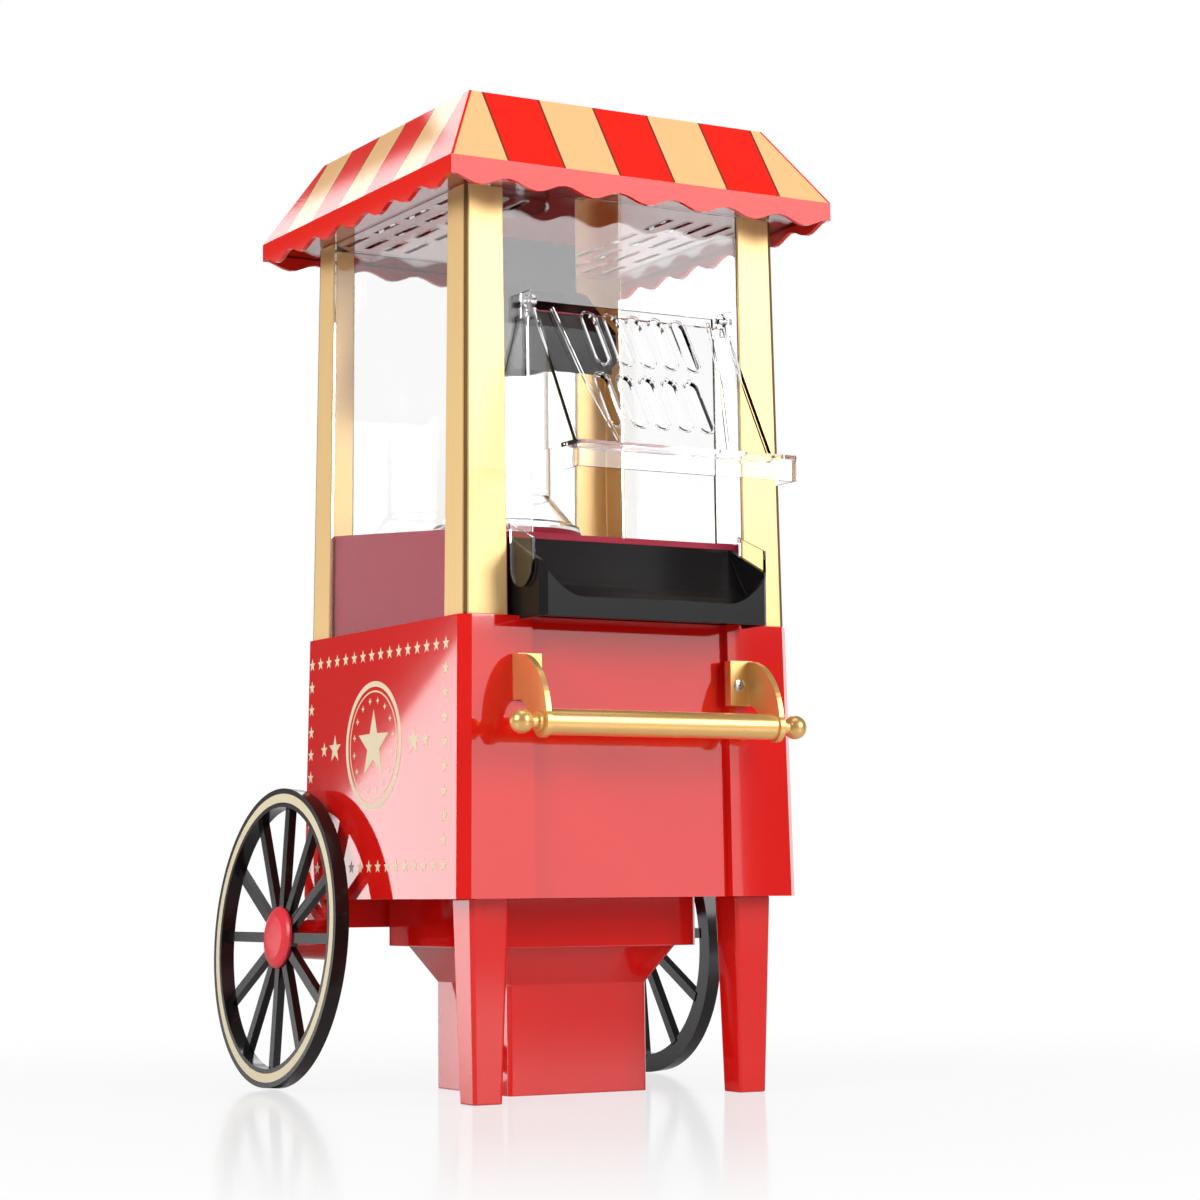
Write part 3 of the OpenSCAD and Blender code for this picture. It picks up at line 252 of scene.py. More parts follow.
# %% Lamps
# Each has its place, what it points at, its width and height, and its power
LAMPS = {
    "front_box": ((1.0, -1.75, 1.0), (0, 0, 0.3), 1.05, 1.05, 22.0),
    "low_box": ((0.70, -1.75, 0.285), (0, 0, 0.285), 0.73, 0.37, 1.2),
    "left_box": ((-1.6, -0.5, 1.0), (0, 0, 0.25), 0.8, 0.8, 17.5),
    "top_box": ((-0.02, -0.3, 1.9), (0, 0, 0.3), 0.9, 0.9, 4.5),
    "back_box": ((0.65, 1.6, 1.3), (0, 0, 0.3), 0.9, 0.9, 8.0),
}
for name, (place, target, wide, high, power) in LAMPS.items():
    lamp = bpy.data.lights.new(name, "AREA")
    lamp.shape = "RECTANGLE"
    lamp.size, lamp.size_y = wide, high
    lamp.energy = power
    holder = bpy.data.objects.new(name, lamp)
    holder.location = place
    aim = Vector(target) - Vector(place)
    holder.rotation_euler = aim.to_track_quat("-Z", "Y").to_euler()
    scene.collection.objects.link(holder)
    print(name, power, "W")

# %% [markdown]
# ## Meshes from plain lists
# Blender's own shapes could be added and edited, but a mesh made from a list of points and
# faces says exactly what it is. Every mesh in this file is made so, and two helpers do it: one
# makes the mesh, and one puts it in the scene.


# %% Mesh helpers
def new_object(name, mesh):
    """A scene object for a finished mesh."""
    piece = bpy.data.objects.new(name, mesh)
    scene.collection.objects.link(piece)
    return piece


def mesh_from(name, points, faces):
    """A mesh from plain lists, with its normals turned outwards."""
    mesh = bpy.data.meshes.new(name)
    mesh.from_pydata([tuple(p) for p in points], [], faces)
    shape = bmesh.new()
    shape.from_mesh(mesh)
    bmesh.ops.recalc_face_normals(shape, faces=shape.faces)
    shape.to_mesh(mesh)
    shape.free()
    return mesh


# %% [markdown]
# ## The table top
# The maker stands on a white table that fades into the wall. A backdrop with a curved foot would
# do that with its shape. A big disc is simpler: its material adds white where the camera sees
# it, more so further out, and keeps the shadow by mixing that white with a pale gloss surface.

# %% Table top
FLOOR_RADIUS, FLOOR_SIDES = 30.0, 64
FLOOR_GREY, FLOOR_ROUGH = 0.60, 0.12
NEAR_WHITE, FAR_WHITE, WHITE_REACH = 0.68, 1.0, (0.22, 0.75)

rim = [
    (FLOOR_RADIUS * math.cos(a), FLOOR_RADIUS * math.sin(a), 0.0)
    for a in (math.tau * k / FLOOR_SIDES for k in range(FLOOR_SIDES))
]
floor_mesh = bpy.data.meshes.new("table_top")
floor_mesh.from_pydata(rim, [], [list(range(FLOOR_SIDES))])
table_top = new_object("table_top", floor_mesh)

white = bpy.data.materials.new("white_table")
white.use_nodes = True
tree = white.node_tree
tree.nodes.clear()
gloss = add(tree, "ShaderNodeBsdfPrincipled", Roughness=FLOOR_ROUGH)
gloss.inputs["Base Color"].default_value = (FLOOR_GREY, FLOOR_GREY, FLOOR_GREY, 1)
glow = tree.nodes.new("ShaderNodeEmission")
glow.inputs["Color"].default_value = (1, 1, 1, 1)
spot = tree.nodes.new("ShaderNodeTexCoord")
reach = add(tree, "ShaderNodeVectorMath", operation="LENGTH")
tree.links.new(spot.outputs["Object"], reach.inputs[0])
away = ramp(tree, reach.outputs["Value"], *WHITE_REACH)
whiteness = blend(tree, NEAR_WHITE, FAR_WHITE, away)
whiten = tree.nodes.new("ShaderNodeMixShader")
out = tree.nodes.new("ShaderNodeOutputMaterial")
tree.links.new(times(tree, seen_directly(tree), whiteness), whiten.inputs[0])
tree.links.new(gloss.outputs[0], whiten.inputs[1])
tree.links.new(glow.outputs[0], whiten.inputs[2])
tree.links.new(whiten.outputs[0], out.inputs["Surface"])
floor_mesh.materials.append(white)
print("floor radius", FLOOR_RADIUS, "m")

# %% [markdown]
# ## Two shared surface effects
# Almost every finish needs a slightly uneven colour and gloss and a faint relief. That could be
# built in each material again, but it is the same few nodes, so it is two node groups with
# inputs of their own. Both put out a colour, a roughness and a height, and each material feeds
# them to its own shader. What the two share is wired by one function.

# %% Group helpers
FLOAT, COLOUR = "NodeSocketFloat", "NodeSocketColor"


def new_group(name, inputs):
    """An empty shader group with named inputs, and with colour, roughness and height out."""
    group = bpy.data.node_groups.new(name, "ShaderNodeTree")
    for label, kind, value in inputs:
        item = group.interface.new_socket(name=label, in_out="INPUT", socket_type=kind)
        item.default_value = value
    for label, kind in (("Color", COLOUR), ("Roughness", FLOAT), ("Height", FLOAT)):
        group.interface.new_socket(name=label, in_out="OUTPUT", socket_type=kind)
    return group, group.nodes.new("NodeGroupInput"), group.nodes.new("NodeGroupOutput")


def vary(group, given, result, noise, height):
    """Lets a noise shade a group's colour and waver its roughness, and passes a height on."""
    swing = minus(group, noise, 0.5)
    shade = plus(group, times(group, swing, given.outputs["Shade"]), 1.0)
    tint = add(group, "ShaderNodeVectorMath", operation="SCALE")
    group.links.new(given.outputs["Color"], tint.inputs[0])
    group.links.new(shade, tint.inputs["Scale"])
    waver = times(group, swing, given.outputs["Waver"])
    rough = math_node(group, "ADD", waver, given.outputs["Roughness"], clamp=True)
    group.links.new(tint.outputs[0], result.inputs["Color"])
    group.links.new(rough, result.inputs["Roughness"])
    group.links.new(height, result.inputs["Height"])
    print("group:", group.name)


# %% [markdown]
# Moulded plastic is never perfectly even: its gloss wavers in soft clouds and its skin has a
# faint orange peel. Painted textures could show that, but they would need unfolded meshes. Two
# noises in the object's own coordinates need nothing: a coarse one for the clouds and a fine
# one for the peel.

# %% Node group: moulded skin
CLOUD_SCALE, CLOUD_DETAIL, PEEL_DETAIL = 14.0, 3.0, 1.5

skin, skin_in, skin_out = new_group(
    "Moulded skin",
    [
        ("Color", COLOUR, (0.5, 0.5, 0.5, 1)),
        ("Shade", FLOAT, 0.08),
        ("Roughness", FLOAT, 0.2),
        ("Waver", FLOAT, 0.05),
        ("Peel scale", FLOAT, 900.0),
    ],
)
coordinates = skin.nodes.new("ShaderNodeTexCoord")
cloud = add(skin, "ShaderNodeTexNoise", Scale=CLOUD_SCALE, Detail=CLOUD_DETAIL)
peel = add(skin, "ShaderNodeTexNoise", Detail=PEEL_DETAIL)
for noise in (cloud, peel):
    skin.links.new(coordinates.outputs["Object"], noise.inputs["Vector"])
skin.links.new(skin_in.outputs["Peel scale"], peel.inputs["Scale"])
vary(skin, skin_in, skin_out, cloud.outputs["Fac"], peel.outputs["Fac"])

# %% [markdown]
# The gold and the metal parts have fine streaks, down the posts and round what was turned on a
# lathe. They could be drawn one by one, but a noise that is stretched along one axis makes them
# by itself, so the second group scales its coordinates unevenly. Each material states its own
# stretch.

# %% Node group: fine streaks
GRAIN_DETAIL = 2.0

streaks, streaks_in, streaks_out = new_group(
    "Fine streaks",
    [
        ("Color", COLOUR, (0.5, 0.5, 0.5, 1)),
        ("Shade", FLOAT, 0.15),
        ("Roughness", FLOAT, 0.3),
        ("Waver", FLOAT, 0.1),
        ("Across", FLOAT, 900.0),
        ("Along", FLOAT, 12.0),
    ],
)
coordinates = streaks.nodes.new("ShaderNodeTexCoord")
parts = streaks.nodes.new("ShaderNodeSeparateXYZ")
stretched = streaks.nodes.new("ShaderNodeCombineXYZ")
streaks.links.new(coordinates.outputs["Object"], parts.inputs[0])
for axis, spread in (("X", "Across"), ("Y", "Across"), ("Z", "Along")):
    scaled = times(streaks, parts.outputs[axis], streaks_in.outputs[spread])
    streaks.links.new(scaled, stretched.inputs[axis])
grain = add(streaks, "ShaderNodeTexNoise", Scale=1.0, Detail=GRAIN_DETAIL)
streaks.links.new(stretched.outputs[0], grain.inputs["Vector"])
vary(streaks, streaks_in, streaks_out, grain.outputs["Fac"], grain.outputs["Fac"])

# %% [markdown]
# ## Finishes
# Every finish is one Principled shader fed by one of the two groups. Each could be built by
# hand, but a helper makes them alike. Values that are the same all over, such as metallic, the
# clear coat or the transmission of clear plastic, are set straight on the shader, because only
# there do they survive an export.

# %% Material helpers
BUMP_DISTANCE = 0.001


def placed(tree, group, settings):
    """A surface group put into a material, with its own values."""
    node = tree.nodes.new("ShaderNodeGroup")
    node.node_tree = group
    for label, value in settings.items():
        node.inputs[label].default_value = value
    return node


def cover(tree, shader, source, bump):
    """Feeds a surface group's roughness and height to a shader."""
    tree.links.new(source.outputs["Roughness"], shader.inputs["Roughness"])
    relief = add(tree, "ShaderNodeBump", Strength=bump, Distance=BUMP_DISTANCE)
    tree.links.new(source.outputs["Height"], relief.inputs["Height"])
    tree.links.new(relief.outputs["Normal"], shader.inputs["Normal"])


def finish(name, group, settings, bump, **plain):
    """A Principled material whose colour, roughness and normal come from a surface group."""
    material = bpy.data.materials.new(name)
    material.use_nodes = True
    tree = material.node_tree
    shader = tree.nodes["Principled BSDF"]
    source = placed(tree, group, settings)
    for label, value in plain.items():
        shader.inputs[label.replace("_", " ")].default_value = value
    tree.links.new(source.outputs["Color"], shader.inputs["Base Color"])
    cover(tree, shader, source, bump)
    print("finish:", name)
    return material


# %% [markdown]
# The cabinet is bright red gloss, like a lacquered moulding. A very smooth base would mirror
# too, but a clear coat over it gives a second, sharper mirror, as lacquer does. The hub caps
# are a lighter, duller red, and the bed under the popcorn is a dark one.

# %% Red finishes
red_gloss = finish(
    "red_gloss",
    skin,
    {"Color": (0.78, 0.009, 0.006, 1), "Shade": 0.06, "Roughness": 0.05, "Waver": 0.02},
    bump=0.008,
    Coat_Weight=1.0,
    Coat_Roughness=0.015,
)
hub_red = finish(
    "hub_red",
    skin,
    {"Color": (0.85, 0.035, 0.05, 1), "Shade": 0.08, "Roughness": 0.3, "Waver": 0.08},
    bump=0.03,
)
bed_red = finish(
    "bed_red",
    skin,
    {"Color": (0.42, 0.026, 0.055, 1), "Shade": 0.12, "Roughness": 0.42, "Waver": 0.1},
    bump=0.03,
    Specular_IOR_Level=0.12,
)

# %% [markdown]
# The posts are a pale gold lacquer with metal flakes, which a fully metallic shader would make
# too dark, so they are only about a third metallic. The handle and its brackets are plated and
# deeper in colour. A brown finish paints the shade in the narrow joint down each post.

# %% Gold finishes
gold_lacquer = finish(
    "gold_lacquer",
    streaks,
    {"Color": (0.95, 0.64, 0.27, 1), "Shade": 0.12, "Roughness": 0.33, "Waver": 0.10},
    bump=0.015,
    Metallic=0.35,
)
gold_plate = finish(
    "gold_plate",
    streaks,
    {"Color": (0.92, 0.57, 0.21, 1), "Shade": 0.10, "Roughness": 0.30, "Waver": 0.06},
    bump=0.012,
    Metallic=0.70,
)
# Brown painted shade for the notch down each post, which light from all round would otherwise fill
joint_painted_shade = finish(
    "joint_painted_shade",
    skin,
    {"Color": (0.14, 0.062, 0.006, 1), "Shade": 0.2, "Roughness": 0.6},
    bump=0.02,
)

# %% [markdown]
# Black is hard to light: whatever it mirrors is all that shows. One black for everything would
# be grey on the tray, which stands behind clear plastic and mirrors white. So the tray and the
# hood have a weak mirror, the wheels a stronger one, and the switch a coated one.

# %% Black finishes
black_satin = finish(
    "black_satin",
    skin,
    {"Color": (0.010, 0.009, 0.009, 1), "Shade": 0.3, "Roughness": 0.26, "Waver": 0.05},
    bump=0.03,
    Specular_IOR_Level=0.15,
)
wheel_black = finish(
    "wheel_black",
    skin,
    {"Color": (0.010, 0.009, 0.009, 1), "Shade": 0.3, "Roughness": 0.17, "Waver": 0.05},
    bump=0.02,
    Specular_IOR_Level=0.4,
)
black_gloss = finish(
    "black_gloss",
    skin,
    {"Color": (0.012, 0.012, 0.014, 1), "Shade": 0.3, "Roughness": 0.12, "Waver": 0.05},
    bump=0.03,
    Coat_Weight=0.4,
)

# %% [markdown]
# The rest are the cream ink of the printing and the rim bands, the metals of the popper and the
# screws, and the mica sheet that holds the heater. The metals could share one finish, but
# their streaks differ: they run round the spun chamber and are short and fine on plated steel.

# %% Ink, metals and mica
cream_print = finish(
    "cream_print",
    skin,
    {"Color": (0.84, 0.72, 0.48, 1), "Shade": 0.10, "Roughness": 0.35, "Waver": 0.08},
    bump=0.01,
)
spun_aluminium = finish(
    "spun_aluminium",
    streaks,
    {"Color": (0.80, 0.81, 0.82, 1), "Roughness": 0.3, "Across": 40.0, "Along": 2200.0},
    bump=0.03,
    Metallic=1.0,
)
plated_steel = finish(
    "plated_steel",
    streaks,
    {"Color": (0.66, 0.67, 0.69, 1), "Roughness": 0.22, "Across": 1200.0, "Along": 300.0},
    bump=0.02,
    Metallic=1.0,
)
mica = finish(
    "mica",
    skin,
    {"Color": (0.66, 0.60, 0.48, 1), "Shade": 0.4, "Roughness": 0.6, "Peel scale": 300.0},
    bump=0.2,
)

# %% [markdown]
# Clear plastic could be drawn as a half-transparent film, which renders fast but looks like
# fog. Here it lets light through and bends it, so its cut edges catch light and dark lines, as
# they do on the real mouldings.

# %% Clear finish
clear_plastic = finish(
    "clear_plastic",
    skin,
    {"Color": (1.0, 1.0, 1.0, 1), "Shade": 0.0, "Roughness": 0.02, "Waver": 0.01},
    bump=0.004,
    Transmission_Weight=1.0,
    IOR=1.38,
)

# %% [markdown]
# ## The awning's stripes
# Red and cream stripes run straight down each slope at one pitch and are cut off at the hips.
# They could be separate strips of mesh, but the awning is one moulding with printed colour. So
# the material works out from a point's place and facing which stripe it lies in, and how far it
# is from the stripe's edge, where the print has a thin dark line.

# %% Awning: which stripe
EAVE_X, EAVE_Y, EAVE_Z = 0.1116, 0.1149, 0.461
TOP_X, TOP_Y, AWNING_RISE = 0.0871, 0.0873, 0.0415
AWNING_Y = 0.002
STRIPES = 7
SLOPE_FROM, SLOPE_TO = 0.25, 0.93
LINE_HALF = 0.018
# An even number keeps the count above zero, and a half puts a stripe's middle on the centre
FRONT_START, SIDE_START = 100.5, 101.5

awning = bpy.data.materials.new("awning_stripes")
awning.use_nodes = True
tree = awning.node_tree
coordinates = tree.nodes.new("ShaderNodeTexCoord")
place = tree.nodes.new("ShaderNodeSeparateXYZ")
facing = tree.nodes.new("ShaderNodeSeparateXYZ")
tree.links.new(coordinates.outputs["Object"], place.inputs[0])
tree.links.new(coordinates.outputs["Normal"], facing.inputs[0])
along_x = place.outputs["X"]
along_y = minus(tree, place.outputs["Y"], AWNING_Y)

side_on = math_node(tree, "ABSOLUTE", facing.outputs["X"])
front_on = math_node(tree, "ABSOLUTE", facing.outputs["Y"])
is_side = math_node(tree, "GREATER_THAN", side_on, front_on)
is_slope = times(
    tree,
    math_node(tree, "GREATER_THAN", facing.outputs["Z"], SLOPE_FROM),
    math_node(tree, "LESS_THAN", facing.outputs["Z"], SLOPE_TO),
)


def stripe_count(tree, along, half_width, start):
    """Number of stripes from the start to a point along an eave, as a fraction."""
    return plus(tree, math_node(tree, "DIVIDE", along, 2 * half_width / STRIPES), start)


pick = tree.nodes.new("ShaderNodeMix")
tree.links.new(is_side, pick.inputs["Factor"])
tree.links.new(stripe_count(tree, along_x, EAVE_X, FRONT_START), pick.inputs["A"])
tree.links.new(stripe_count(tree, along_y, EAVE_Y, SIDE_START), pick.inputs["B"])
count = pick.outputs["Result"]
odd = math_node(tree, "GREATER_THAN", math_node(tree, "MODULO", count, 2.0), 1.0)
within = math_node(tree, "FRACT", count)
to_edge = math_node(tree, "MINIMUM", within, minus(tree, 1.0, within))
line_here = times(tree, math_node(tree, "LESS_THAN", to_edge, LINE_HALF), is_slope)
print("stripe widths", round(2 * EAVE_X / STRIPES, 4), round(2 * EAVE_Y / STRIPES, 4))

# %% [markdown]
# The red of the moulding shows as a thin line down each hip, where the print of two slopes
# meets. A strip of mesh there would spoil the moulding's edge. A point is near a hip when it is
# near the outline of the roof both ways, and the outline shrinks evenly with height.

# %% Awning: the hips
HIP_LINE = 0.0011

height = minus(tree, place.outputs["Z"], EAVE_Z)


def near_outline(tree, along, eave, top):
    """1 where a point is close to the roof's outline at its own height."""
    shrink = times(tree, height, (eave - top) / AWNING_RISE)
    grown = plus(tree, math_node(tree, "ABSOLUTE", along), shrink)
    return math_node(tree, "GREATER_THAN", grown, eave - HIP_LINE)


on_hip = times(
    tree,
    near_outline(tree, along_x, EAVE_X, TOP_X),
    near_outline(tree, along_y, EAVE_Y, TOP_Y),
)
cream_here = times(tree, times(tree, odd, is_slope), minus(tree, 1.0, on_hip))
print("hip line", HIP_LINE, "m")

# %% [markdown]
# Now the colours: red everywhere, cream where a cream stripe lies, and the dark line over both.
# Three materials on three sets of faces would do the same, but the faces would have to be cut
# first. The awning has no clear coat, but it is smooth enough to mirror the room sharply.

# %% Awning: colours
STRIPE_RED = {"Color": (0.84, 0.018, 0.009, 1), "Roughness": 0.03, "Waver": 0.01}
STRIPE_CREAM = {"Color": (0.90, 0.52, 0.235, 1)}
STRIPE_LINE = (0.22, 0.03, 0.02, 1)
# A Mix node has its colour sockets after those for numbers and vectors
COLOUR_LOW, COLOUR_HIGH, COLOUR_OUT = 6, 7, 2


def colour_mix(tree, share, low, high):
    """The colour low where share is 0 and high where it is 1."""
    mix = add(tree, "ShaderNodeMix", data_type="RGBA")
    tree.links.new(share, mix.inputs["Factor"])
    feed(tree, low, mix.inputs[COLOUR_LOW])
    feed(tree, high, mix.inputs[COLOUR_HIGH])
    return mix.outputs[COLOUR_OUT]


shader = tree.nodes["Principled BSDF"]
red_skin = placed(tree, skin, STRIPE_RED)
cream_skin = placed(tree, skin, STRIPE_CREAM)
stripes = colour_mix(tree, cream_here, red_skin.outputs["Color"], cream_skin.outputs["Color"])
edged = colour_mix(tree, line_here, stripes, STRIPE_LINE)
tree.links.new(edged, shader.inputs["Base Color"])
cover(tree, shader, red_skin, bump=0.003)
shader.inputs["Specular IOR Level"].default_value = 0.35
print("finish:", awning.name)

# %% [markdown]
# ## Finishes onto the solids
# Each solid gets its finish by name. The list is the maker's bill of materials, so it is
# written as one table.

# %% Hand out the finishes
FINISHES = {
    red_gloss: [
        "body_shell", "floor_plate", "hopper", "left_leg", "right_leg", "axle_beam",
    ],
    gold_lacquer: ["front_left_post", "front_right_post", "rear_left_post", "rear_right_post"],
    gold_plate: ["left_bracket", "right_bracket", "handle_bar"],
    wheel_black: ["left_wheel", "right_wheel"],
    black_satin: ["base_cover", "tray", "outlet_hood", "fan_shroud", "fan_impeller"],
    black_gloss: ["switch_bezel", "switch_rocker", "cord_gland"],
    clear_plastic: [
        "left_window", "right_window", "rear_window", "front_window", "flap", "chimney",
        "ceiling", "measuring_cap",
    ],
    cream_print: ["left_rim_band", "right_rim_band"],
    hub_red: ["left_hub_cap", "right_hub_cap"],
    bed_red: ["popcorn_bed"],
    awning: ["roof"],
    spun_aluminium: ["popping_chamber", "heater_housing"],
    mica: ["heater_former"],
    plated_steel: [
        "base_screws", "axle_pins", "bracket_screws", "hinge_pins", "motor_mount", "motor",
        "motor_shaft", "heater_coil", "thermostat",
    ],
}
for material, names in FINISHES.items():
    for name in names:
        nodes[name].data.materials.clear()
        nodes[name].data.materials.append(material)
print("finished:", sum(len(v) for v in FINISHES.values()), "of", len(nodes))

# %% [markdown]
# ## Rounded edges
# A mould can't make a razor edge, and an edge without a radius never shines. The solids'
# meshes must stay as they are, so modifiers do it: weld the seams, clear the flat triangles,
# bevel what is sharp, and let the big faces decide the shading.

# %% Soften the solids
WELD_REACH, FLAT_ANGLE, SHARP_ANGLE = 0.00001, math.radians(0.6), math.radians(34.0)


def soften(piece, radius):
    """Rounds a solid's sharp edges with modifiers, leaving its own mesh alone."""
    weld = piece.modifiers.new("weld", "WELD")
    weld.merge_threshold = WELD_REACH
    flat = piece.modifiers.new("flat", "DECIMATE")
    flat.decimate_type = "DISSOLVE"
    flat.angle_limit = FLAT_ANGLE
    bevel = piece.modifiers.new("bevel", "BEVEL")
    bevel.width = radius
    bevel.segments = 2
    bevel.limit_method = "ANGLE"
    bevel.angle_limit = SHARP_ANGLE
    bevel.use_clamp_overlap = True
    bevel.harden_normals = False
    shading = piece.modifiers.new("shading", "WEIGHTED_NORMAL")
    shading.keep_sharp = True


# Each radius, and the solids that get it
RADII = {
    0.0008: ["body_shell", "left_leg", "right_leg", "hopper", "axle_beam"],
    0.0006: [
        "front_left_post", "front_right_post", "rear_left_post", "rear_right_post", "roof",
        "tray", "outlet_hood", "popcorn_bed",
    ],
    0.0004: ["left_bracket", "right_bracket", "left_wheel", "right_wheel", "switch_bezel"],
    0.0003: ["switch_rocker", "cord_gland", "front_window"],
}
for radius, names in RADII.items():
    for name in names:
        soften(nodes[name], radius)
print("softened:", sum(len(v) for v in RADII.values()))

# %% [markdown]
# ## Small pieces
# Some details are finer than the solids: the ink on the cabinet's sides, the raised rims of the
# flap's slots, the painted shade in the joint down each post, the crossed screw heads and the
# marks on the switch. They could be painted on, but each one catches the light, so each is a small
# mesh.
# Most are flat outlines swept to a small depth, so one helper sweeps an outline and a second
# joins many of them into one piece, with each point put in place by a function.


# %% Helpers for swept pieces
def prism(outline, low, high, hole=None):
    """Points (a, b, depth) and faces of an outline swept from low to high, with a matching hole."""
    n = len(outline)
    rows = [outline] + ([hole] if hole else [])
    points = [(a, b, d) for d in (low, high) for row in rows for a, b in row]
    step = n * len(rows)
    faces = []
    for r in range(len(rows)):
        for k in range(n):
            i, j = r * n + k, r * n + (k + 1) % n
            faces.append([i, j, step + j, step + i])
    for base in (0, step):
        if hole:
            for k in range(n):
                j = (k + 1) % n
                faces.append([base + k, base + j, base + n + j, base + n + k])
        else:
            faces.append([base + k for k in range(n)])
    return points, faces


def joined(name, parts, place):
    """One mesh object from several (points, faces), each point put in place by a function."""
    points, faces = [], []
    for part_points, part_faces in parts:
        first = len(points)
        points += [place(*p) for p in part_points]
        faces += [[first + i for i in face] for face in part_faces]
    return new_object(name, mesh_from(name, points, faces))


def dress(piece, material, body):
    """Finish, colour slot and body of an added piece."""
    piece.data.materials.append(material)
    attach(piece, body)
    print(piece.name, len(piece.data.vertices), "points, rides", body)


def circle(radius, steps, at=(0.0, 0.0)):
    """Points round a circle."""
    turns = [math.tau * k / steps for k in range(steps)]
    return [(at[0] + radius * math.cos(a), at[1] + radius * math.sin(a)) for a in turns]


# %% [markdown]
# ## Printed ornament on the sides
# Each side of the cabinet has a border of small stars in cream ink, with a badge inside it.
# Ink could be a texture, but stars are crisp little shapes, so each is a thin flat tile laid
# on the leaning side. The border comes first: evenly spaced stars between the four corners.

# %% Side print: the border
BODY_HALF, BODY_FLARE = 0.096, 0.0023
DECK_Z, BODY_Z = 0.239, 0.100
INK, INK_SINK = 0.00012, 0.00003
STAR_R, STAR_WAIST = 0.0036, 0.42
STAR_STEP, STAR_DROP = 0.0107, 0.0122
FRONT_Y, REAR_Y, TOP_Z, LOW_Z = -0.0755, 0.0835, 0.2255, 0.1165


def star(cy, cz, outer, inner, points=5):
    """Outline of a star in y and z, with one point up."""
    ring = []
    for k in range(2 * points):
        a = math.radians(90.0 + 180.0 * k / points)
        reach = outer if k % 2 == 0 else inner
        ring.append((cy + reach * math.cos(a), cz + reach * math.sin(a)))
    return ring


def tile(outline, hole=None):
    """A flat tile of ink."""
    return prism(outline, -INK_SINK, INK - INK_SINK, hole)


tiles = []


def star_row(start, end, step):
    """Stars evenly spaced from one point to another, both included."""
    gaps = max(1, round(math.dist(start, end) / step))
    for k in range(gaps + 1):
        t = k / gaps
        y = start[0] + (end[0] - start[0]) * t
        z = start[1] + (end[1] - start[1]) * t
        tiles.append(tile(star(y, z, STAR_R, STAR_R * STAR_WAIST)))


star_row((FRONT_Y, TOP_Z), (REAR_Y, TOP_Z), STAR_STEP)
star_row((FRONT_Y, TOP_Z - STAR_DROP), (FRONT_Y, LOW_Z), STAR_DROP)
star_row((REAR_Y, TOP_Z - STAR_DROP), (REAR_Y, LOW_Z), STAR_DROP)
star_row((FRONT_Y + STAR_STEP, LOW_Z), (REAR_Y - STAR_STEP, LOW_Z), STAR_STEP)
print("stars in the border:", len(tiles))

# %% [markdown]
# The badge is a plain medallion: two rings with a circle of small marks inside them, round a
# large star, and two small stars on each side. A ring could be a curve with a thickness. Here
# it is a swept circle with a round hole, like every other tile.

# %% Side print: the badge
BADGE_Y, BADGE_Z, RING_STEPS = 0.006, 0.179, 64
BADGE_RINGS = ((0.0330, 0.0302), (0.0282, 0.0274))
BADGE_STAR = (0.0185, 0.0074)
MARKS, MARK_RING, MARK_STAR = 16, 0.0232, (0.0019, 0.0008)
SIDE_STARS = ((0.047, 0.0075, 0.0030), (0.0605, 0.0042, 0.0017))

for outer, inner in BADGE_RINGS:
    tiles.append(tile(
        circle(outer, RING_STEPS, (BADGE_Y, BADGE_Z)),
        circle(inner, RING_STEPS, (BADGE_Y, BADGE_Z)),
    ))
tiles.append(tile(star(BADGE_Y, BADGE_Z, *BADGE_STAR)))
for k in range(MARKS):
    a = math.tau * (k + 0.5) / MARKS
    mark_y, mark_z = BADGE_Y + MARK_RING * math.cos(a), BADGE_Z + MARK_RING * math.sin(a)
    tiles.append(tile(star(mark_y, mark_z, *MARK_STAR, points=4)))
for s in (-1, 1):
    for apart, outer, inner in SIDE_STARS:
        tiles.append(tile(star(BADGE_Y + s * apart, BADGE_Z, outer, inner)))
print("tiles on each side:", len(tiles))

# %% [markdown]
# The cabinet is a little wider at the foot, so its sides lean. The flat print could be turned
# to lie on them, but it is easier to move each of its points out to where the side is at that
# height. The right side has the mirror image of the left one.


# %% Side print: onto both sides
def side_x(z):
    """Distance of the cabinet's side from the middle at height z."""
    return BODY_HALF + BODY_FLARE * (DECK_Z - z) / (DECK_Z - BODY_Z)


def on_left(y, z, d):
    """A point of the left side's print, in the room."""
    return (-(side_x(z) + d), y, z)


def on_right(y, z, d):
    """A point of the right side's print, in the room."""
    return (side_x(z) + d, y, z)


dress(joined("left_side_print", tiles, on_left), cream_print, "cabinet")
dress(joined("right_side_print", tiles, on_right), cream_print, "cabinet")

# %% [markdown]
# ## Rims round the flap's slots
# Steam leaves through two rows of long slots in the flap, and each slot has a thin raised rim on
# its outer face. The flap's own solid could carry them, but they are finer than its walls need
# to be. So they are swept outlines in the sloping panel's own frame, where x runs across it, z
# up it and y through it.

# %% Slot rims
HINGE_Y, HINGE_Z, TILT = -0.0915019, 0.397, math.radians(29.6)
SLOT_R, SLOT_L, SLOT_PITCH, SLOTS = 0.00375, 0.032, 0.0131, 5
LEAN = math.radians(2.5)
SLOT_ROWS = ((0.005, 0.0), (0.0445, -0.004))
RIM_WIDTH, RIM_OUT, PANEL_FACE = 0.0011, -0.0019, -0.00099
END_STEPS = 24


def slot_line(radius):
    """Outline of a slot with round ends, hanging from its top end, grown to a radius."""
    line = []
    for turn, shift in ((0.0, -SLOT_R), (math.pi, SLOT_R - SLOT_L)):
        for k in range(END_STEPS + 1):
            a = turn + math.pi * k / END_STEPS
            line.append((radius * math.cos(a), radius * math.sin(a) + shift))
    return line


def leaned(line, x, z):
    """An outline turned by the slots' lean and moved."""
    c, d = math.cos(LEAN), math.sin(LEAN)
    return [(x + a * c - b * d, z + a * d + b * c) for a, b in line]


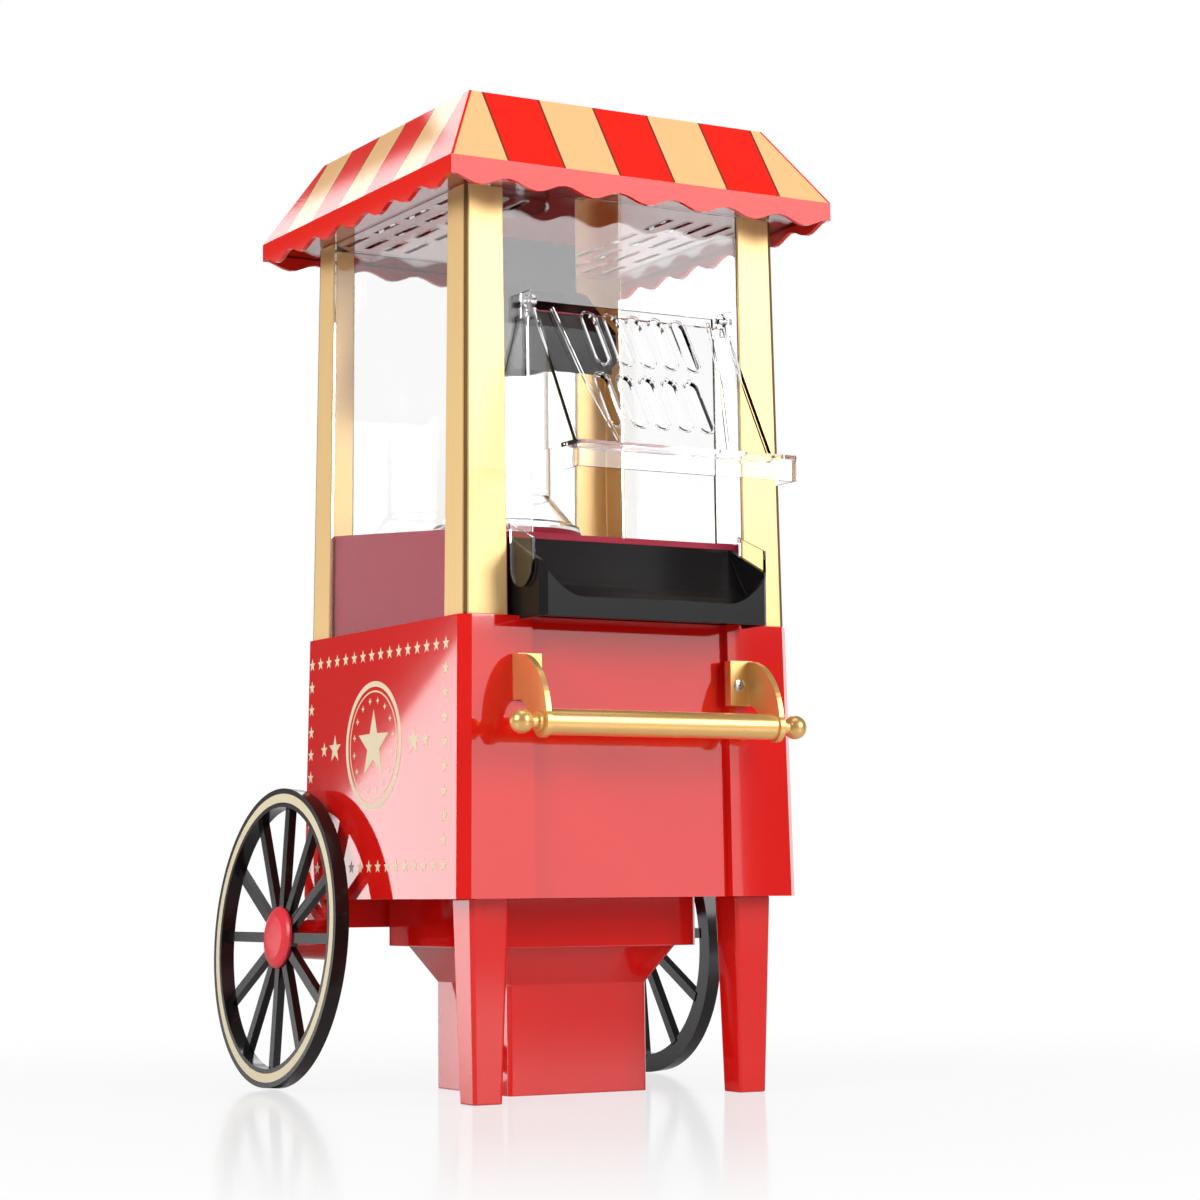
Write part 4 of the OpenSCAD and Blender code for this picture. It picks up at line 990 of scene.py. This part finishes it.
def on_flap(x, z, y):
    """A point of the sloping panel's own frame, in the room."""
    c, d = math.cos(TILT), math.sin(TILT)
    return (x, HINGE_Y + y * c + z * d, HINGE_Z - y * d + z * c)


rims = []
for top, shift in SLOT_ROWS:
    for i in range(SLOTS):
        spot = ((i - (SLOTS - 1) / 2) * SLOT_PITCH + shift, -top)
        outer, inner = (leaned(slot_line(r), *spot) for r in (SLOT_R + RIM_WIDTH, SLOT_R))
        rims.append(prism(outer, RIM_OUT, PANEL_FACE, inner))
dress(joined("slot_rims", rims, on_flap), clear_plastic, "flap")

# %% [markdown]
# Two thin ribs stiffen the flap's panel and run down it from the hinge to the ledge, closer
# together at the foot. They could be round rods, but they are moulded with the panel, so they
# are flat bars with one slight bend.

# %% Ribs down the flap's panel
RIB_TOP, RIB_FOOT, RIB_BEND = (0.0460, -0.0035), (0.0310, -0.0890), 0.002
RIB_HALF, RIB_OUT = 0.0008, -0.0021

middle = [(a + b) / 2 for a, b in zip(RIB_TOP, RIB_FOOT)]
spine = (RIB_TOP, (middle[0] + RIB_BEND, middle[1]), RIB_FOOT)
ribs = []
for side in (-1, 1):
    down, back_up = ([(side * x + w, z) for x, z in spine] for w in (-RIB_HALF, RIB_HALF))
    ribs.append(prism(down + back_up[::-1], RIB_OUT, PANEL_FACE))
dress(joined("flap_ribs", ribs, on_flap), clear_plastic, "flap")

# %% [markdown]
# ## Painted shade down each post's joint
# Each corner post is two gold strips that meet at the corner, and the narrow joint between them
# shows as a dark line of shade. The posts' solids have a small notch there. It could be left
# empty, but light from all round fills it, so a brown strip stands in it as painted shade,
# leaning inwards as the post does.

# %% Post joints: strips of painted shade
CORNER_X, CORNER_Y, CABIN_LEAN, CABIN_H = 0.0937, 0.0902, 0.0028, 0.216
NOTCH, FILL, JOINT_SINK, JOINT_END = 0.0020, 0.0014, -0.0002, 0.0004
CORNERS = {
    "front_left": (-1, -1), "front_right": (1, -1), "rear_left": (-1, 1), "rear_right": (1, 1),
}


def corner_shade_strip(sx, sy):
    """Points and faces of the painted-shade strip in one corner's notch."""
    section = ((JOINT_SINK, JOINT_SINK), (FILL, JOINT_SINK), (FILL, FILL), (JOINT_SINK, FILL))
    points = []
    for z in (DECK_Z + JOINT_END, DECK_Z + CABIN_H - JOINT_END):
        lean = CABIN_LEAN * (z - DECK_Z) / CABIN_H
        x, y = CORNER_X - lean - NOTCH, CORNER_Y - lean - NOTCH
        points += [(sx * (x + a), sy * (y + b), z) for a, b in section]
    sides = [[k, (k + 1) % 4, 4 + (k + 1) % 4, 4 + k] for k in range(4)]
    return points, [[0, 1, 2, 3], [4, 5, 6, 7]] + sides


# Each strip is painted shade: brown where the notch would lie in shade
for label, (sx, sy) in CORNERS.items():
    strip = new_object(f"{label}_joint_shade", mesh_from(f"{label}_joint_shade", *corner_shade_strip(sx, sy)))
    dress(strip, joint_painted_shade, "cabinet")

# %% [markdown]
# ## Crossed heads of the bracket screws
# One screw holds each bracket's pad to the front panel. Its solid is a plain pin, and a real
# head is a low dome with a cross sunk into it. The cross could be cut with a boolean, but a
# height for every point of a fine round grid gives dome and cross at once. These screws take
# the place of the plain ones.

# %% Bracket screws
PAD_Y, SCREW_X, SCREW_Z = -0.0985, 0.06025, 0.207
HEAD_R, HEAD_H, HEAD_DROP, HEAD_SINK = 0.0033, 0.0011, 0.45, -0.0004
SHANK_R, SHANK_L = 0.0015, 0.012
CROSS_REACH, CROSS_HALF, CROSS_DEPTH = 0.0020, 0.00042, 0.0007
HEAD_TURNS, HEAD_RINGS = 72, 22


def head_height(a, b):
    """Height of the screw's domed head, with a cross sunk into it."""
    dome = HEAD_H * (1.0 - HEAD_DROP * (a * a + b * b) / HEAD_R ** 2)
    in_cross = max(abs(a), abs(b)) < CROSS_REACH and min(abs(a), abs(b)) < CROSS_HALF
    return dome - (CROSS_DEPTH if in_cross else 0.0)


def screw(side):
    """Points and faces of one screw: a fine grid over the head, then its rim and shank."""
    centre = side * SCREW_X
    points = [(centre, SCREW_Z, head_height(0, 0))]
    for r in range(1, HEAD_RINGS + 1):
        for a, b in circle(HEAD_R * r / HEAD_RINGS, HEAD_TURNS):
            points.append((centre + a, SCREW_Z + b, head_height(a, b)))
    for reach, depth in ((HEAD_R, HEAD_SINK), (SHANK_R, HEAD_SINK), (SHANK_R, -SHANK_L)):
        points += [(centre + a, SCREW_Z + b, depth) for a, b in circle(reach, HEAD_TURNS)]
    faces = [[0, 1 + k, 1 + (k + 1) % HEAD_TURNS] for k in range(HEAD_TURNS)]
    for r in range(HEAD_RINGS + 2):
        first = 1 + r * HEAD_TURNS
        for k in range(HEAD_TURNS):
            j = (k + 1) % HEAD_TURNS
            faces.append([first + k, first + HEAD_TURNS + k, first + HEAD_TURNS + j, first + j])
    faces.append([1 + (HEAD_RINGS + 2) * HEAD_TURNS + k for k in range(HEAD_TURNS)])
    return points, faces


def on_pad(x, z, d):
    """A point of a screw, in the room."""
    return (x, PAD_Y - d, z)


screws = joined("crossed_screws", [screw(-1), screw(1)], on_pad)
dress(screws, plated_steel, "cabinet")
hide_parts("bracket_screws")

# %% [markdown]
# ## Marks on the switch
# A mains switch has a line for on and a ring for off. They could be sunk into the rocker, but
# on most switches they are printed, so they are two thin swept outlines that lie on its tilted
# face and turn with it.

# %% Switch marks
SWITCH, PRESS = Vector((0.052, 0.0917281, 0.195)), math.radians(8)
FACE_Y, FACE_RISE, FACE_HALF = 0.0019, 0.0007, 0.0089
MARK_LOW, MARK_HIGH = -0.00003, 0.00008
LINE_W, LINE_LOW, LINE_TOP = 0.0004, 0.0030, 0.0065
OFF_RING, OFF_Z, OFF_STEPS = (0.0020, 0.0013), -0.0047, 40


def on_rocker(x, z, d):
    """A point on the rocker's face, at a small depth above it, in the room."""
    y = FACE_Y + FACE_RISE * abs(z) / FACE_HALF + d
    return (
        SWITCH.x + x,
        SWITCH.y + y * math.cos(PRESS) + z * math.sin(PRESS),
        SWITCH.z - y * math.sin(PRESS) + z * math.cos(PRESS),
    )


on_line = [(-LINE_W, LINE_LOW), (LINE_W, LINE_LOW), (LINE_W, LINE_TOP), (-LINE_W, LINE_TOP)]
off_outer, off_inner = (circle(r, OFF_STEPS, (0.0, OFF_Z)) for r in OFF_RING)
marks = [prism(on_line, MARK_LOW, MARK_HIGH), prism(off_outer, MARK_LOW, MARK_HIGH, off_inner)]
dress(joined("switch_marks", marks, on_rocker), cream_print, "rocker")
